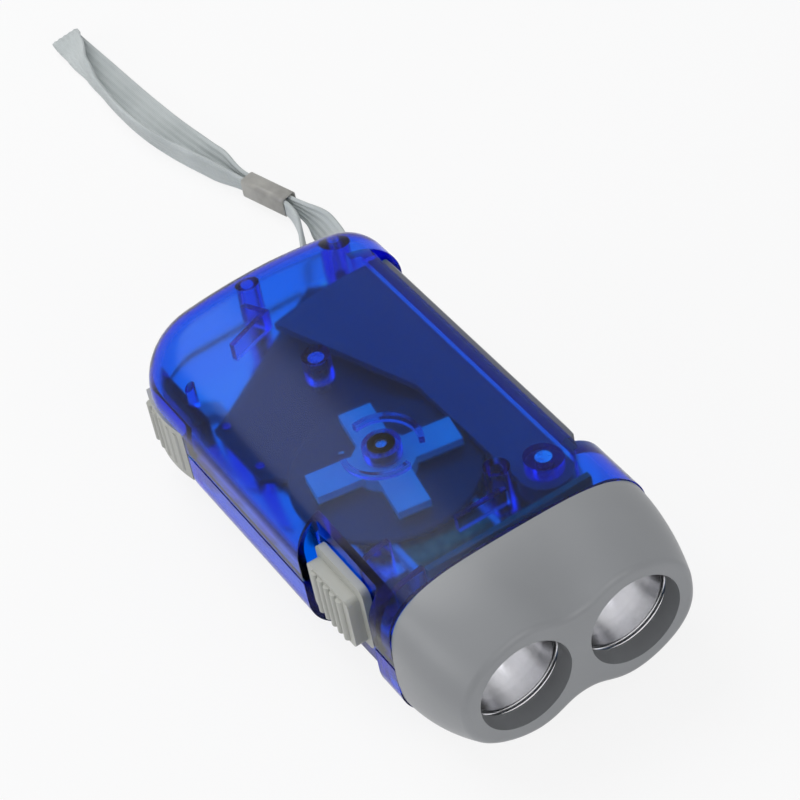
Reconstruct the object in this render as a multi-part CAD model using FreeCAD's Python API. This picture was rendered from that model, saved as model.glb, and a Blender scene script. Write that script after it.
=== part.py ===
# Squeeze-powered dynamo torch: clear blue housing, grey twin-lamp head, hand lever, gear train and wrist strap.
# Millimetres. +X towards the lamps, +Y towards the hand lever, +Z up. The origin is under the middle of the body.
# The pieces are drawn about the plane midway between the lamps, and moved sideways to that origin when kept.
import FreeCAD, Part
import math
import os

V = FreeCAD.Vector
UP = V(0, 0, 1)
FORWARD = V(1, 0, 0)
SIDEWAYS = V(0, 1, 0)

# Body form
FRONT_X = 52.5
REAR_X = -54.0
BODY_HEIGHT = 31.3
GRIP_SIDE_Y = -27.2
CHEEK_HALF_WIDTH = 25.6
EDGE_RADIUS = 9.0
CROWN_RADIUS = 103.0
BASE_FLAT_DEPTH = 0.35
REAR_CORNER_RADIUS = 15.0
REAR_SLANT = 0.5
CHEEK_LENGTH = 12.0
WALL = 2.0
SPLIT_Z = 15.65
PARTING_GROOVE = 0.35
HEAD_LENGTH = 16.5

# Lamp head
HEAD_HALF_WIDTH = CHEEK_HALF_WIDTH
HEAD_FRONT_HALF_WIDTH = 22.6
HEAD_FRONT_HALF_HEIGHT = 12.9
HEAD_FRONT_DIP = 3.9
HEAD_FRONT_DIP_SPREAD = 6.5
HEAD_SEAM_EXPONENT = 3.5
HEAD_FRONT_EXPONENT = 2.4
HEAD_WALL = 1.7
HEAD_EDGE_RADIUS = 1.5
SPIGOT_LENGTH = 3.4
SPIGOT_CLEARANCE = 0.15
LAMP_SPACING = 21.72
LAMP_BORE_RADIUS = 8.87
LAMP_RECESS = 4.0
LENS_THICKNESS = 1.6
LENS_RADIUS = 9.4
REFLECTOR_WALL = 0.8
LED_RADIUS = 2.5
LED_LENGTH = 8.6
BOARD_THICKNESS = 1.2
BOARD_X = 29.2

# Hand lever and its toothed sector
LEVER_PIVOT_X = 23.5
LEVER_PIVOT_Y = 14.3
LEVER_PIN_RADIUS = 1.5
LEVER_HUB_RADIUS = 5.0
LEVER_REACH = 64.3
LEVER_WALL = 1.9
LEVER_INSET = 1.1
LEVER_LOW_Z = 5.0
LEVER_HIGH_Z = 25.6
LEVER_WEB = 1.5
LEVER_GAP = 0.5
LEVER_SWING_DEG = 24.0
SIDE_CUT_Y = 20.5
SECTOR_MODULE = 0.8
SECTOR_TEETH_ROUND = 111
SECTOR_FACE = 4.0
SECTOR_RIM = 5.0
SECTOR_START_DEG = 182.0
SECTOR_END_DEG = 232.0

# Gear train
DRIVE_PINION_TEETH = 12
DRIVE_DIRECTION_DEG = 199.6
WHEEL_MODULE = 0.5
DRIVE_WHEEL_TEETH = 64
MIDDLE_PINION_TEETH = 12
MIDDLE_WHEEL_TEETH = 48
ROTOR_PINION_TEETH = 12
BACKLASH = 0.12
GEAR_FACE = 2.2
GEAR_GAP = 0.5
DRIVE_AXLE_RADIUS = 1.5
MIDDLE_AXLE_RADIUS = 1.0
RUNNING_CLEARANCE = 0.05
SEAT_CLEARANCE = 0.02
SPIN_CLEARANCE = 0.4
PAWL_COUNT = 3
RATCHET_TEETH = 8

# Rotor and stator
ROTOR_X = 3.4
ROTOR_Y = -5.1
SHAFT_RADIUS = 1.0
MAGNET_RADIUS = 9.0
MAGNET_HEIGHT = 6.6
POLE_GAP = 0.6
POLE_THICKNESS = 2.0
STATOR_THICKNESS = 3.0
STATOR_LEG = 3.4
FLYWHEEL_RADIUS = 17.0
FLYWHEEL_THICKNESS = 1.3
CROSS_ARM_LENGTH = 13.4
CROSS_ARM_WIDTH = 6.0
CROSS_THICKNESS = 2.7
CROSS_ANGLE_DEG = -9.7
BUSH_RADIUS = 2.45
BUSH_HEIGHT = 2.4

# Switch and lock sliders
SWITCH_POCKET = (9.5, 29.5)
LOCK_POCKET = (-54.0, -30.8)
SWITCH_TRAVEL = 2.5
LOCK_TRAVEL = 2.5
SWITCH_POCKET_Y = -22.5
LOCK_POCKET_Y = -24.0
SLIDER_PLATE = 1.5
SLIDER_CLEARANCE = 0.25
RIB_PITCH = 2.0

# Strap
STRAP_WIDTH = 5.5
STRAP_THICKNESS = 1.0
SLEEVE_LENGTH = 12.5
SLEEVE_WALL = 0.4

SEAM_X = FRONT_X - HEAD_LENGTH
MID_Z = (BODY_HEIGHT - BASE_FLAT_DEPTH) / 2
FORM_HALF_HEIGHT = (BODY_HEIGHT + BASE_FLAT_DEPTH) / 2
PIVOT = V(LEVER_PIVOT_X, LEVER_PIVOT_Y, 0)
ROTOR = V(ROTOR_X, ROTOR_Y, 0)
FAR = 400.0
FRAME_SHIFT = V(-(FRONT_X + REAR_X) / 2, -(GRIP_SIDE_Y + CHEEK_HALF_WIDTH) / 2, 0)
PARTS = {}


# Small helpers
def direction(angle_deg):
    return V(math.cos(math.radians(angle_deg)), math.sin(math.radians(angle_deg)), 0)


def box(x0, x1, y0, y1, z0, z1):
    return Part.makeBox(x1 - x0, y1 - y0, z1 - z0, V(x0, y0, z0))


def post(centre, radius, z0, z1):
    return Part.makeCylinder(radius, z1 - z0, V(centre.x, centre.y, z0), UP)


def ring(centre, outer, inner, z0, z1):
    return post(centre, outer, z0, z1).cut(post(centre, inner, z0 - 1, z1 + 1))


def plate(points, z0, z1):
    wire = Part.makePolygon([V(x, y, z0) for x, y in points] + [V(points[0][0], points[0][1], z0)])
    return Part.Face(wire).extrude(V(0, 0, z1 - z0))


def sector(centre, radius, start_deg, end_deg, z0, z1):
    """A pie slice, used to keep or cut part of a ring."""
    middle = (start_deg + end_deg) / 2
    points = [centre]
    for angle in (start_deg, middle, end_deg):
        points.append(centre + direction(angle) * (radius * 1.5))
    return plate([(p.x, p.y) for p in points], z0, z1)


def fused(shapes):
    shape = shapes[0].fuse(shapes[1:])
    return shape.removeSplitter()


def rounded(shape, radius, chosen):
    """Fillet the edges for which chosen(edge) is true."""
    edges = [edge for edge in shape.Edges if chosen(edge)]
    return shape.makeFillet(radius, edges)


def is_vertical(edge):
    return abs(edge.tangentAt(edge.FirstParameter).z) > 0.999


def keep(name, *shapes):
    """Store a finished piece under its node name, moved so that the origin is under the body's middle."""
    solids = [solid.translated(FRAME_SHIFT) for shape in shapes for solid in shape.Solids]
    PARTS[name] = solids[0] if len(solids) == 1 else Part.makeCompound(solids)


# Body form: a crowned core swollen by the edge radius, so every inset of it keeps a parallel wall
def body_core():
    left = GRIP_SIDE_Y + EDGE_RADIUS
    cheek = CHEEK_HALF_WIDTH - EDGE_RADIUS
    rear = REAR_X + EDGE_RADIUS
    front = SEAM_X + 2 * EDGE_RADIUS
    outline = [(front, -cheek), (SWITCH_POCKET[1], -cheek), (SWITCH_POCKET[0], left), (rear + REAR_SLANT, left)]
    outline += [(rear, EDGE_RADIUS / 2), (rear, cheek), (front, cheek)]
    core = plate(outline, MID_Z - BODY_HEIGHT, MID_Z + BODY_HEIGHT)

    def rear_left(edge):
        at = edge.CenterOfMass
        return is_vertical(edge) and at.y < 0 and at.x < rear / 2

    core = rounded(core, REAR_CORNER_RADIUS - EDGE_RADIUS, rear_left)
    crown = CROWN_RADIUS - EDGE_RADIUS
    depth = FORM_HALF_HEIGHT - CROWN_RADIUS
    for side in (1, -1):
        barrel = Part.makeCylinder(crown, FAR, V(-FAR / 2, 0, MID_Z + side * depth), FORWARD)
        core = core.common(barrel)
    return core


CORE = body_core()
FORMS = {}


def body_form(inset):
    """The outside of the body, moved inwards by the inset."""
    if inset not in FORMS:
        FORMS[inset] = CORE.makeOffsetShape(EDGE_RADIUS - inset, 0.001)
    return FORMS[inset]


def half_space_x(x0, x1):
    return box(x0, x1, -FAR, FAR, 0, FAR)


# Places that several pieces share
INNER_FLOOR = WALL
INNER_ROOF = BODY_HEIGHT - WALL
SECTOR_PITCH = SECTOR_MODULE * SECTOR_TEETH_ROUND / 2
DRIVE_PINION_PITCH = SECTOR_MODULE * DRIVE_PINION_TEETH / 2
DRIVE = PIVOT + direction(DRIVE_DIRECTION_DEG) * (SECTOR_PITCH + DRIVE_PINION_PITCH)
DRIVE_TO_MIDDLE = WHEEL_MODULE * (DRIVE_WHEEL_TEETH + MIDDLE_PINION_TEETH) / 2
MIDDLE_TO_ROTOR = WHEEL_MODULE * (MIDDLE_WHEEL_TEETH + ROTOR_PINION_TEETH) / 2


def third_corner(a, b, from_a, from_b):
    """The point at the two given distances from a and b, on the lever's side of the line between them."""
    along = b - a
    span = along.Length
    foot = (from_a ** 2 - from_b ** 2 + span ** 2) / (2 * span)
    rise = math.sqrt(from_a ** 2 - foot ** 2)
    along.normalize()
    return a + along * foot + V(-along.y, along.x, 0) * rise


MIDDLE = third_corner(DRIVE, ROTOR, DRIVE_TO_MIDDLE, MIDDLE_TO_ROTOR)

SECTOR_Z = LEVER_LOW_Z
WHEEL_Z = SECTOR_Z + SECTOR_FACE + GEAR_GAP
MIDDLE_WHEEL_Z = WHEEL_Z + GEAR_FACE + GEAR_GAP
MAGNET_Z = MIDDLE_WHEEL_Z + GEAR_FACE + GEAR_GAP + GEAR_GAP
FLYWHEEL_Z = MAGNET_Z + MAGNET_HEIGHT
CROSS_Z = FLYWHEEL_Z + FLYWHEEL_THICKNESS
STATOR_Z = MAGNET_Z + (MAGNET_HEIGHT - STATOR_THICKNESS) / 2 - 0.3
COVER_Z = FLYWHEEL_Z - GEAR_GAP - 1.2
COVER_TOP_Z = FLYWHEEL_Z - GEAR_GAP
BOSS_TOP_Z = SECTOR_Z - 0.3
BUSH_TOP_Z = INNER_ROOF
LAMP_Z = SPLIT_Z
LAMPS = {"left": -LAMP_SPACING / 2, "right": LAMP_SPACING / 2}

STRAP_POST = V(-48.0, 16.8, 0)
REAR_POST = V(-47.7, -1.7, 0)
STATOR_POST = V(20.9, 6.7, 0)
STATOR_NIB = V(16.0, ROTOR_Y - MAGNET_RADIUS - POLE_GAP - POLE_THICKNESS / 2, 0)
POST_RADIUS = 2.85
REAR_POST_RADIUS = 2.2
STATOR_STUD_RADIUS = 2.3
LEVER_BOSS_RADIUS = 3.5
DRIVE_BOSS_RADIUS = 2.6
DRIVE_BOSS_Z = 24.0
PIN_TOP_Z = INNER_ROOF - 1.0
BORE_TOP_Z = PIN_TOP_Z + 0.1
SCREW_RADIUS = 1.1
SCREW_HOLE_RADIUS = 1.3
SCREW_PILOT_RADIUS = 1.15
SCREW_HEAD_RADIUS = 2.1
SCREW_HEAD_HEIGHT = 1.5
SCREW_LENGTH = 14.0
REAR_SEAT_Z = 6.2
STATOR_SEAT_Z = 2.6
SCREW_PLACES = [(STRAP_POST, REAR_SEAT_Z), (REAR_POST, REAR_SEAT_Z), (STATOR_POST, STATOR_SEAT_Z)]
COVER_PILLARS = [V(-42.8, 4.0, 0), V(-25.6, -20.4, 0), V(-13.2, -20.8, 0)]
PILLAR_RADIUS = 1.6

SWITCH_Z = SPLIT_Z
LOCK_Z = 11.9
STEM_HALF_HEIGHT = 1.4
SWITCH_STEM = (22.3, 24.9)
LOCK_STEM = (-42.5, -38.5)


# Gear teeth
def involute(angle):
    return math.tan(angle) - angle


PRESSURE_ANGLE = math.radians(20)


def tooth_half_angle(radius, teeth, module):
    """Half the angle that a tooth covers at a radius, with the backlash taken off."""
    pitch = teeth * module / 2
    base = pitch * math.cos(PRESSURE_ANGLE)
    at_pitch = math.pi / (2 * teeth) - BACKLASH / (2 * pitch)
    turn = involute(math.acos(base / radius)) if radius > base else 0.0
    return at_pitch + involute(PRESSURE_ANGLE) - turn


def tooth_points(centre, teeth, module, middle_deg, addendum, dedendum):
    """One tooth's outline, root to tip and back to root, counter-clockwise."""
    pitch = teeth * module / 2
    radii = [pitch - dedendum * module, pitch - dedendum * module / 3, pitch + addendum * module / 2]
    radii.append(pitch + addendum * module)
    flank = [(radius, tooth_half_angle(radius, teeth, module)) for radius in radii]
    points = [centre + direction(middle_deg - math.degrees(half)) * radius for radius, half in flank]
    points += [centre + direction(middle_deg + math.degrees(half)) * radius for radius, half in reversed(flank)]
    return [(p.x, p.y) for p in points]


TOOTH_ADDENDUM = 0.85
TOOTH_DEDENDUM = 1.2


def gear(centre, teeth, module, first_tooth_deg, z0, z1):
    """A spur gear with one tooth centred on the first tooth's direction."""
    outline = []
    for count in range(teeth):
        middle = first_tooth_deg + 360.0 * count / teeth
        outline += tooth_points(centre, teeth, module, middle, TOOTH_ADDENDUM, TOOTH_DEDENDUM)
    return plate(outline, z0, z1)


def heading(a, b):
    return math.degrees(math.atan2(b.y - a.y, b.x - a.x))


def meshed(a, b, teeth_b):
    """Direction of a tooth of the gear at b that leaves a gap facing the tooth of the gear at a."""
    return heading(b, a) + 180.0 / teeth_b


# Shells
def pocketed(shell, x_range, floor_y, z_range, corner):
    """Sink a slider pocket into the left side: its own wall behind it, then the recess."""
    low, high = z_range
    recess = box(x_range[0], x_range[1], -FAR, floor_y, low, high)
    recess = rounded(recess, corner, lambda edge: is_vertical(edge) and edge.CenterOfMass.y > floor_y - 1)
    backing = box(x_range[0] - WALL, x_range[1] + WALL, -FAR, floor_y + WALL, low - WALL, high + WALL)
    return shell.fuse(body_form(0).common(backing)).cut(recess)


def side_gap(z0, z1, reach):
    """The room beside the body that the hand lever swings through."""
    front = box(0, SEAM_X - CHEEK_LENGTH, SIDE_CUT_Y, FAR, z0, z1)
    swept = post(PIVOT, reach, z0, z1).common(box(-FAR, 1, SIDE_CUT_Y, FAR, z0, z1))
    return front.fuse(swept)


def hollow_housing():
    """Both shells in one, before they are split and given their posts."""
    outer = body_form(0)
    inner = body_form(WALL)
    shell = outer.cut(inner)
    lever_reach = LEVER_REACH + LEVER_GAP
    flank = box(-FAR, SEAM_X - CHEEK_LENGTH + WALL, SIDE_CUT_Y - WALL, SIDE_CUT_Y, -1, FAR)
    flank = flank.common(post(PIVOT, lever_reach + WALL, -1, FAR).fuse(half_space_x(0, FAR)))
    lobe_wall = ring(PIVOT, lever_reach + WALL, lever_reach, -1, FAR)
    lobe_wall = lobe_wall.common(box(-FAR, 0, SIDE_CUT_Y - 2 * WALL, FAR, -1, FAR))
    cheek_wall = box(SEAM_X - CHEEK_LENGTH, SEAM_X - CHEEK_LENGTH + WALL, SIDE_CUT_Y - WALL, FAR, -1, FAR)
    shell = shell.cut(side_gap(-1, FAR, lever_reach))
    walls = flank.fuse([lobe_wall, cheek_wall]).common(outer).cut(side_gap(-1, FAR, lever_reach))
    shell = shell.fuse(walls)
    slot_low = LEVER_LOW_Z - LEVER_GAP
    slot_high = LEVER_HIGH_Z + LEVER_GAP
    slot = box(-FAR, SEAM_X - CHEEK_LENGTH, SIDE_CUT_Y - WALL - 1, FAR, slot_low, slot_high)
    slot = slot.common(post(PIVOT, lever_reach, -1, FAR).fuse(half_space_x(0, FAR)))
    shell = shell.cut(slot)
    hub_room = post(PIVOT, LEVER_HUB_RADIUS + LEVER_GAP, slot_low, slot_high)
    shell = shell.cut(hub_room)
    shell = pocketed(shell, SWITCH_POCKET, SWITCH_POCKET_Y, (-1, FAR), 1.2)
    shell = pocketed(shell, LOCK_POCKET, LOCK_POCKET_Y, (3.6, 20.2), 2.0)
    shell = shell.cut(post(ROTOR, FLYWHEEL_RADIUS + SPIN_CLEARANCE, FLYWHEEL_Z - SPIN_CLEARANCE, CROSS_Z + SPIN_CLEARANCE))
    stem_room = SLIDER_CLEARANCE
    for stem, travel, pocket_y, z in (
        (SWITCH_STEM, SWITCH_TRAVEL, SWITCH_POCKET_Y, SWITCH_Z),
        (LOCK_STEM, LOCK_TRAVEL, LOCK_POCKET_Y, LOCK_Z),
    ):
        low = min(stem[0], stem[0] + travel) - stem_room
        high = max(stem[1], stem[1] + travel) + stem_room
        half = STEM_HALF_HEIGHT + stem_room
        shell = shell.cut(box(low, high, pocket_y - 1, pocket_y + WALL + 1, z - half, z + half))
    groove = body_form(-1).cut(body_form(PARTING_GROOVE))
    groove = groove.common(box(-FAR, FAR, -FAR, FAR, SPLIT_Z - PARTING_GROOVE, SPLIT_Z + PARTING_GROOVE))
    shell = shell.cut(groove)
    shell = shell.common(half_space_x(-FAR, SEAM_X))
    spigot = body_form(HEAD_WALL + SPIGOT_CLEARANCE).cut(body_form(HEAD_WALL + WALL))
    spigot = spigot.common(half_space_x(SEAM_X - WALL, SEAM_X + SPIGOT_LENGTH))
    return shell.fuse(spigot)


STRAP_SLOT_Z = 4.4
STRAP_SLOT = (10.4, 23.4)


def inside(shape, inset=WALL / 2):
    """Trim bosses and ribs so that they end inside the housing's wall."""
    return shape.common(body_form(inset))


def make_top_shell(housing):
    upper = housing.common(box(-FAR, FAR, -FAR, FAR, SPLIT_Z, FAR))
    stator_top = STATOR_Z + STATOR_THICKNESS
    bosses = [
        (STRAP_POST, POST_RADIUS, SPLIT_Z, SCREW_PILOT_RADIUS, BORE_TOP_Z),
        (REAR_POST, REAR_POST_RADIUS, SPLIT_Z, SCREW_PILOT_RADIUS, BORE_TOP_Z),
        (STATOR_POST, STATOR_STUD_RADIUS, stator_top + 0.1, SCREW_PILOT_RADIUS, BORE_TOP_Z),
        (PIVOT, LEVER_BOSS_RADIUS, LEVER_HIGH_Z + 0.3, LEVER_PIN_RADIUS + SEAT_CLEARANCE, BORE_TOP_Z),
        (DRIVE, DRIVE_BOSS_RADIUS, DRIVE_BOSS_Z, DRIVE_AXLE_RADIUS + SEAT_CLEARANCE, BORE_TOP_Z),
        (ROTOR, BUSH_RADIUS + 1.0, BUSH_TOP_Z - BUSH_HEIGHT, BUSH_RADIUS + SEAT_CLEARANCE, BUSH_TOP_Z),
    ]
    ribs = [inside(post(place, radius, low, BODY_HEIGHT)) for place, radius, low, _, _ in bosses]
    guard = ring(ROTOR, 7.4, 6.4, INNER_ROOF - 1.4, BODY_HEIGHT)
    for side in (0, 180):
        guard = guard.cut(sector(ROTOR, 8, CROSS_ANGLE_DEG + side + 20, CROSS_ANGLE_DEG + side + 70, 0, FAR))
    ribs.append(inside(guard))
    vee = [(-43.1, -5.9), (-39.0, -3.9), (-36.4, -12.1), (-35.3, -11.8), (-38.6, -2.4), (-43.1, -4.7)]
    ribs.append(inside(plate(vee, 25.0, BODY_HEIGHT)))
    ribs.append(inside(box(25.5, 26.7, -4.9, 5.1, 26.0, BODY_HEIGHT)))
    ribs.append(inside(box(21.4, 22.6, -20.4, -15.6, 20.1, BODY_HEIGHT)))
    ribs.append(inside(box(30.4, 31.6, -20.4, -14.6, 17.4, BODY_HEIGHT)))
    ribs.append(inside(post(V(-34.0, -22.0, 0), 0.9, SPLIT_Z + 6, BODY_HEIGHT), 1.0))
    bores = [post(place, bore, low - 1, top) for place, _, low, bore, top in bosses]
    return fused([upper] + ribs).cut(bores)


def make_bottom_shell(housing):
    lower = housing.common(box(-FAR, FAR, -FAR, FAR, 0, SPLIT_Z))
    lower = lower.cut(box(REAR_X - 2, STRAP_POST.x + 1.6, STRAP_SLOT[0], STRAP_SLOT[1], STRAP_SLOT_Z, SPLIT_Z))
    posts = []
    for place, radius in ((STRAP_POST, POST_RADIUS), (REAR_POST, REAR_POST_RADIUS)):
        posts.append(inside(post(place, radius, 0, SPLIT_Z)))
        posts.append(inside(post(place, SCREW_HEAD_RADIUS + 1.2, 0, REAR_SEAT_Z + 0.8)))
    posts.append(inside(post(STATOR_POST, 2.6, 0, STATOR_Z - 0.1)))
    posts.append(inside(post(STATOR_POST, SCREW_HEAD_RADIUS + 1.2, 0, STATOR_SEAT_Z + 0.8)))
    posts.append(inside(post(STATOR_NIB, 1.9, 0, STATOR_Z - 0.1)))
    posts.append(post(STATOR_NIB, 0.8, STATOR_Z - 0.2, STATOR_Z + STATOR_THICKNESS + 0.4))
    for place, radius in ((PIVOT, 3.2), (DRIVE, 2.8), (MIDDLE, 2.0)):
        posts.append(inside(post(place, radius, 0, BOSS_TOP_Z)))
    posts.append(inside(post(ROTOR, BUSH_RADIUS + 1.1, 0, BOSS_TOP_Z + BUSH_HEIGHT)))
    for place in COVER_PILLARS:
        posts.append(inside(post(place, PILLAR_RADIUS, 0, COVER_Z - 0.1)))
        posts.append(post(place, PILLAR_RADIUS / 2, COVER_Z - 0.2, COVER_TOP_Z + 0.3))
    posts.append(inside(ring(CELL, CELL_RADIUS + 1.1, CELL_RADIUS + 0.15, 0, CELL_Z + 1.6)))
    for x in (BOARD_X - 0.1 - 1.0, BOARD_X + BOARD_THICKNESS + 0.1):
        posts.append(inside(box(x, x + 1.0, -6, 6, 0, BOARD_LOW_Z + 2.4)))
    posts.append(inside(box(SWITCH_BODY[0] + 0.4, SWITCH_BODY[1], SWITCH_BODY_Y[0], SWITCH_BODY_Y[1], 0, SWITCH_Z - 4.05)))
    shell = fused([lower] + posts)
    holes = []
    for place, seat in SCREW_PLACES:
        holes.append(post(place, SCREW_HEAD_RADIUS + 0.2, -1, seat))
        holes.append(post(place, SCREW_HOLE_RADIUS, -1, FAR / 4))
    for place, radius in (
        (PIVOT, LEVER_PIN_RADIUS),
        (DRIVE, DRIVE_AXLE_RADIUS),
        (MIDDLE, MIDDLE_AXLE_RADIUS),
    ):
        holes.append(post(place, radius + SEAT_CLEARANCE, INNER_FLOOR - 0.8, BOSS_TOP_Z + 1))
    holes.append(post(ROTOR, BUSH_RADIUS + SEAT_CLEARANCE, BOSS_TOP_Z, BOSS_TOP_Z + BUSH_HEIGHT + 1))
    holes.append(post(ROTOR, SHAFT_RADIUS + 0.4, INNER_FLOOR, BOSS_TOP_Z + 1))
    return shell.cut(holes[0].fuse(holes[1:]))


CELL = V(16.0, -4.7, 0)
CELL_RADIUS = 8.0
CELL_Z = 2.8
CELL_HEIGHT = 3.2
BOARD_LOW_Z = 3.0


# Lamp head
def smooth(start, end, share):
    return start + (end - start) * share


def head_section(x, inset):
    """Closed outline of the head at x: a rounded rectangle that pinches in between the two lamps."""
    share = (x - SEAM_X) / HEAD_LENGTH
    half_width = smooth(HEAD_HALF_WIDTH, HEAD_FRONT_HALF_WIDTH, share ** 2.2) - inset
    half_height = smooth(FORM_HALF_HEIGHT, HEAD_FRONT_HALF_HEIGHT, share ** 2.0) - inset
    exponent = smooth(HEAD_SEAM_EXPONENT, HEAD_FRONT_EXPONENT, share)
    dip = HEAD_FRONT_DIP * share ** 1.6
    points = []
    steps = 48
    for count in range(steps):
        angle = 2 * math.pi * (count + 0.5) / steps
        across = math.copysign(abs(math.cos(angle)) ** (2 / exponent), math.cos(angle)) * half_width
        rise = math.copysign(abs(math.sin(angle)) ** (2 / exponent), math.sin(angle)) * half_height
        pinch = math.copysign(dip * math.exp(-(across / HEAD_FRONT_DIP_SPREAD) ** 2), rise)
        points.append(V(x, across, MID_Z + rise - pinch))
    curve = Part.BSplineCurve()
    curve.interpolate(Points=points, PeriodicFlag=True)
    return Part.Wire(curve.toShape())


def head_form(x0, x1, inset, count):
    sections = [head_section(smooth(x0, x1, step / (count - 1)), inset) for step in range(count)]
    return Part.makeLoft(sections, True, False)


def make_head():
    outer = head_form(SEAM_X, FRONT_X, 0, 7)
    front_edges = [edge for edge in outer.Edges if edge.BoundBox.XMin > FRONT_X - 0.01]
    outer = outer.makeFillet(HEAD_EDGE_RADIUS, front_edges)
    plate_x = FRONT_X - LAMP_RECESS
    cavity = head_form(SEAM_X - 0.0, plate_x, HEAD_WALL, 6)
    mouth = body_form(HEAD_WALL).common(half_space_x(SEAM_X - 1, SEAM_X + SPIGOT_LENGTH + 0.3))
    tubes = []
    bores = []
    for y in LAMPS.values():
        centre = V(0, y, LAMP_Z)
        tube = Part.makeCylinder(LENS_RADIUS + 1.5, 7.0, centre + FORWARD * (plate_x - 7.0), FORWARD)
        tubes.append(tube.common(outer))
        bores.append(Part.makeCylinder(LAMP_BORE_RADIUS, 2 * LAMP_RECESS, centre + FORWARD * (plate_x - 1), FORWARD))
        seat = Part.makeCylinder(LENS_RADIUS + RUNNING_CLEARANCE, 12.0, centre + FORWARD * (plate_x - 12.0), FORWARD)
        bores.append(seat)
    head = outer.cut([cavity, mouth]).fuse(tubes)
    head = head.cut(bores)
    return head.common(box(-FAR, FAR, -FAR, FAR, 0, FAR)).removeSplitter()


def make_lamps():
    back_x = BOARD_X + BOARD_THICKNESS
    lens_x = FRONT_X - LAMP_RECESS - LENS_THICKNESS - 0.05
    for side, y in LAMPS.items():
        centre = V(0, y, LAMP_Z)
        at = centre + FORWARD * lens_x
        disc = Part.makeCylinder(LENS_RADIUS, LENS_THICKNESS, at, FORWARD)
        keep("lens_" + side, disc.makeChamfer(0.3, [edge for edge in disc.Edges if edge.Closed]))
        keep("reflector_" + side, reflector(centre, back_x + 1.2, lens_x - 0.05))
        led = Part.makeCylinder(LED_RADIUS, LED_LENGTH - LED_RADIUS, centre + FORWARD * back_x, FORWARD)
        dome = Part.makeSphere(LED_RADIUS, centre + FORWARD * (back_x + LED_LENGTH - LED_RADIUS))
        flange = Part.makeCylinder(LED_RADIUS + 0.4, 1.0, centre + FORWARD * back_x, FORWARD)
        keep("led_" + side, fused([led, dome, flange]))


def reflector(centre, x0, x1):
    """A parabolic cup, turned about the lamp's axis."""
    throat = LED_RADIUS + 0.25
    mouth = LENS_RADIUS - 0.1 - REFLECTOR_WALL
    length = x1 - x0

    def wall(extra):
        points = []
        for step in range(7):
            share = step / 6
            points.append(V(x0 + length * share ** 2, throat + (mouth - throat) * share + extra, 0))
        return points

    inner_curve = Part.BSplineCurve()
    inner_curve.interpolate(wall(0))
    outer_curve = Part.BSplineCurve()
    outer_curve.interpolate(wall(REFLECTOR_WALL))
    ends = [wall(0)[0], wall(REFLECTOR_WALL)[0]], [wall(0)[-1], wall(REFLECTOR_WALL)[-1]]
    edges = [inner_curve.toShape(), Part.makeLine(*ends[1]), outer_curve.toShape(), Part.makeLine(*ends[0])]
    face = Part.Face(Part.Wire(Part.sortEdges(edges)[0]))
    cup = face.revolve(V(0, 0, 0), FORWARD, 360)
    cup.translate(V(0, centre.y, centre.z))
    return cup


# Hand lever
def make_lever():
    low = LEVER_LOW_Z
    high = LEVER_HIGH_Z
    outer = body_form(LEVER_INSET)
    skin = outer.cut(body_form(LEVER_WALL + LEVER_INSET))
    reach = post(PIVOT, LEVER_REACH, low, high)
    face = CHEEK_HALF_WIDTH - LEVER_INSET
    taper = [(10.0, 40.0), (10.0, face + 0.1), (15.6, face - 0.8), (19.4, face - 1.5), (20.8, 19.5), (40, 19.5), (40, 40)]
    grip = skin.common(box(-FAR, 9.0, SIDE_CUT_Y, FAR, low, high)).common(reach)
    strip_out = [(8.0, face + 0.1), (10.0, face + 0.1), (15.6, face - 0.8), (19.4, face - 1.5), (21.0, 18.4)]
    strip_in = [(18.8, 17.6), (17.8, face - 3.4), (15.4, face - 2.8), (8.0, face - LEVER_WALL)]
    neck = plate(strip_out + strip_in, low, high).common(outer)
    hub_edge = PIVOT + direction(285) * LEVER_HUB_RADIUS
    blade = outer.common(reach).cut(plate(taper, low - 1, high + 1))
    knee = PIVOT + direction(189.8) * 32
    top_end = PIVOT + direction(195) * (LEVER_REACH + 5)
    bottom_end = PIVOT + direction(190) * (LEVER_REACH + 5)
    corner = [(-90, 60), (hub_edge.x, 60)]
    top_outline = [(p.x, p.y) for p in (hub_edge, knee, top_end)] + corner
    bottom_start = PIVOT + direction(235) * LEVER_HUB_RADIUS
    bottom_knee = PIVOT + direction(190) * 20
    bottom_outline = [(p.x, p.y) for p in (bottom_start, bottom_knee, bottom_end)] + [(-90, 60), (bottom_start.x, 60)]
    top_web = blade.common(plate(top_outline, high - LEVER_WEB, high))
    bottom_web = blade.common(plate(bottom_outline, low, low + LEVER_WEB))
    knuckles = [post(PIVOT, LEVER_HUB_RADIUS, low, low + 4), post(PIVOT, LEVER_HUB_RADIUS, high - 4, high)]
    lever = fused([grip, neck, top_web, bottom_web] + knuckles + [toothed_sector()])
    lever = lever.cut(post(PIVOT, LEVER_PIN_RADIUS + RUNNING_CLEARANCE, 0, FAR / 4))
    keep("squeeze_lever", lever)


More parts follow.
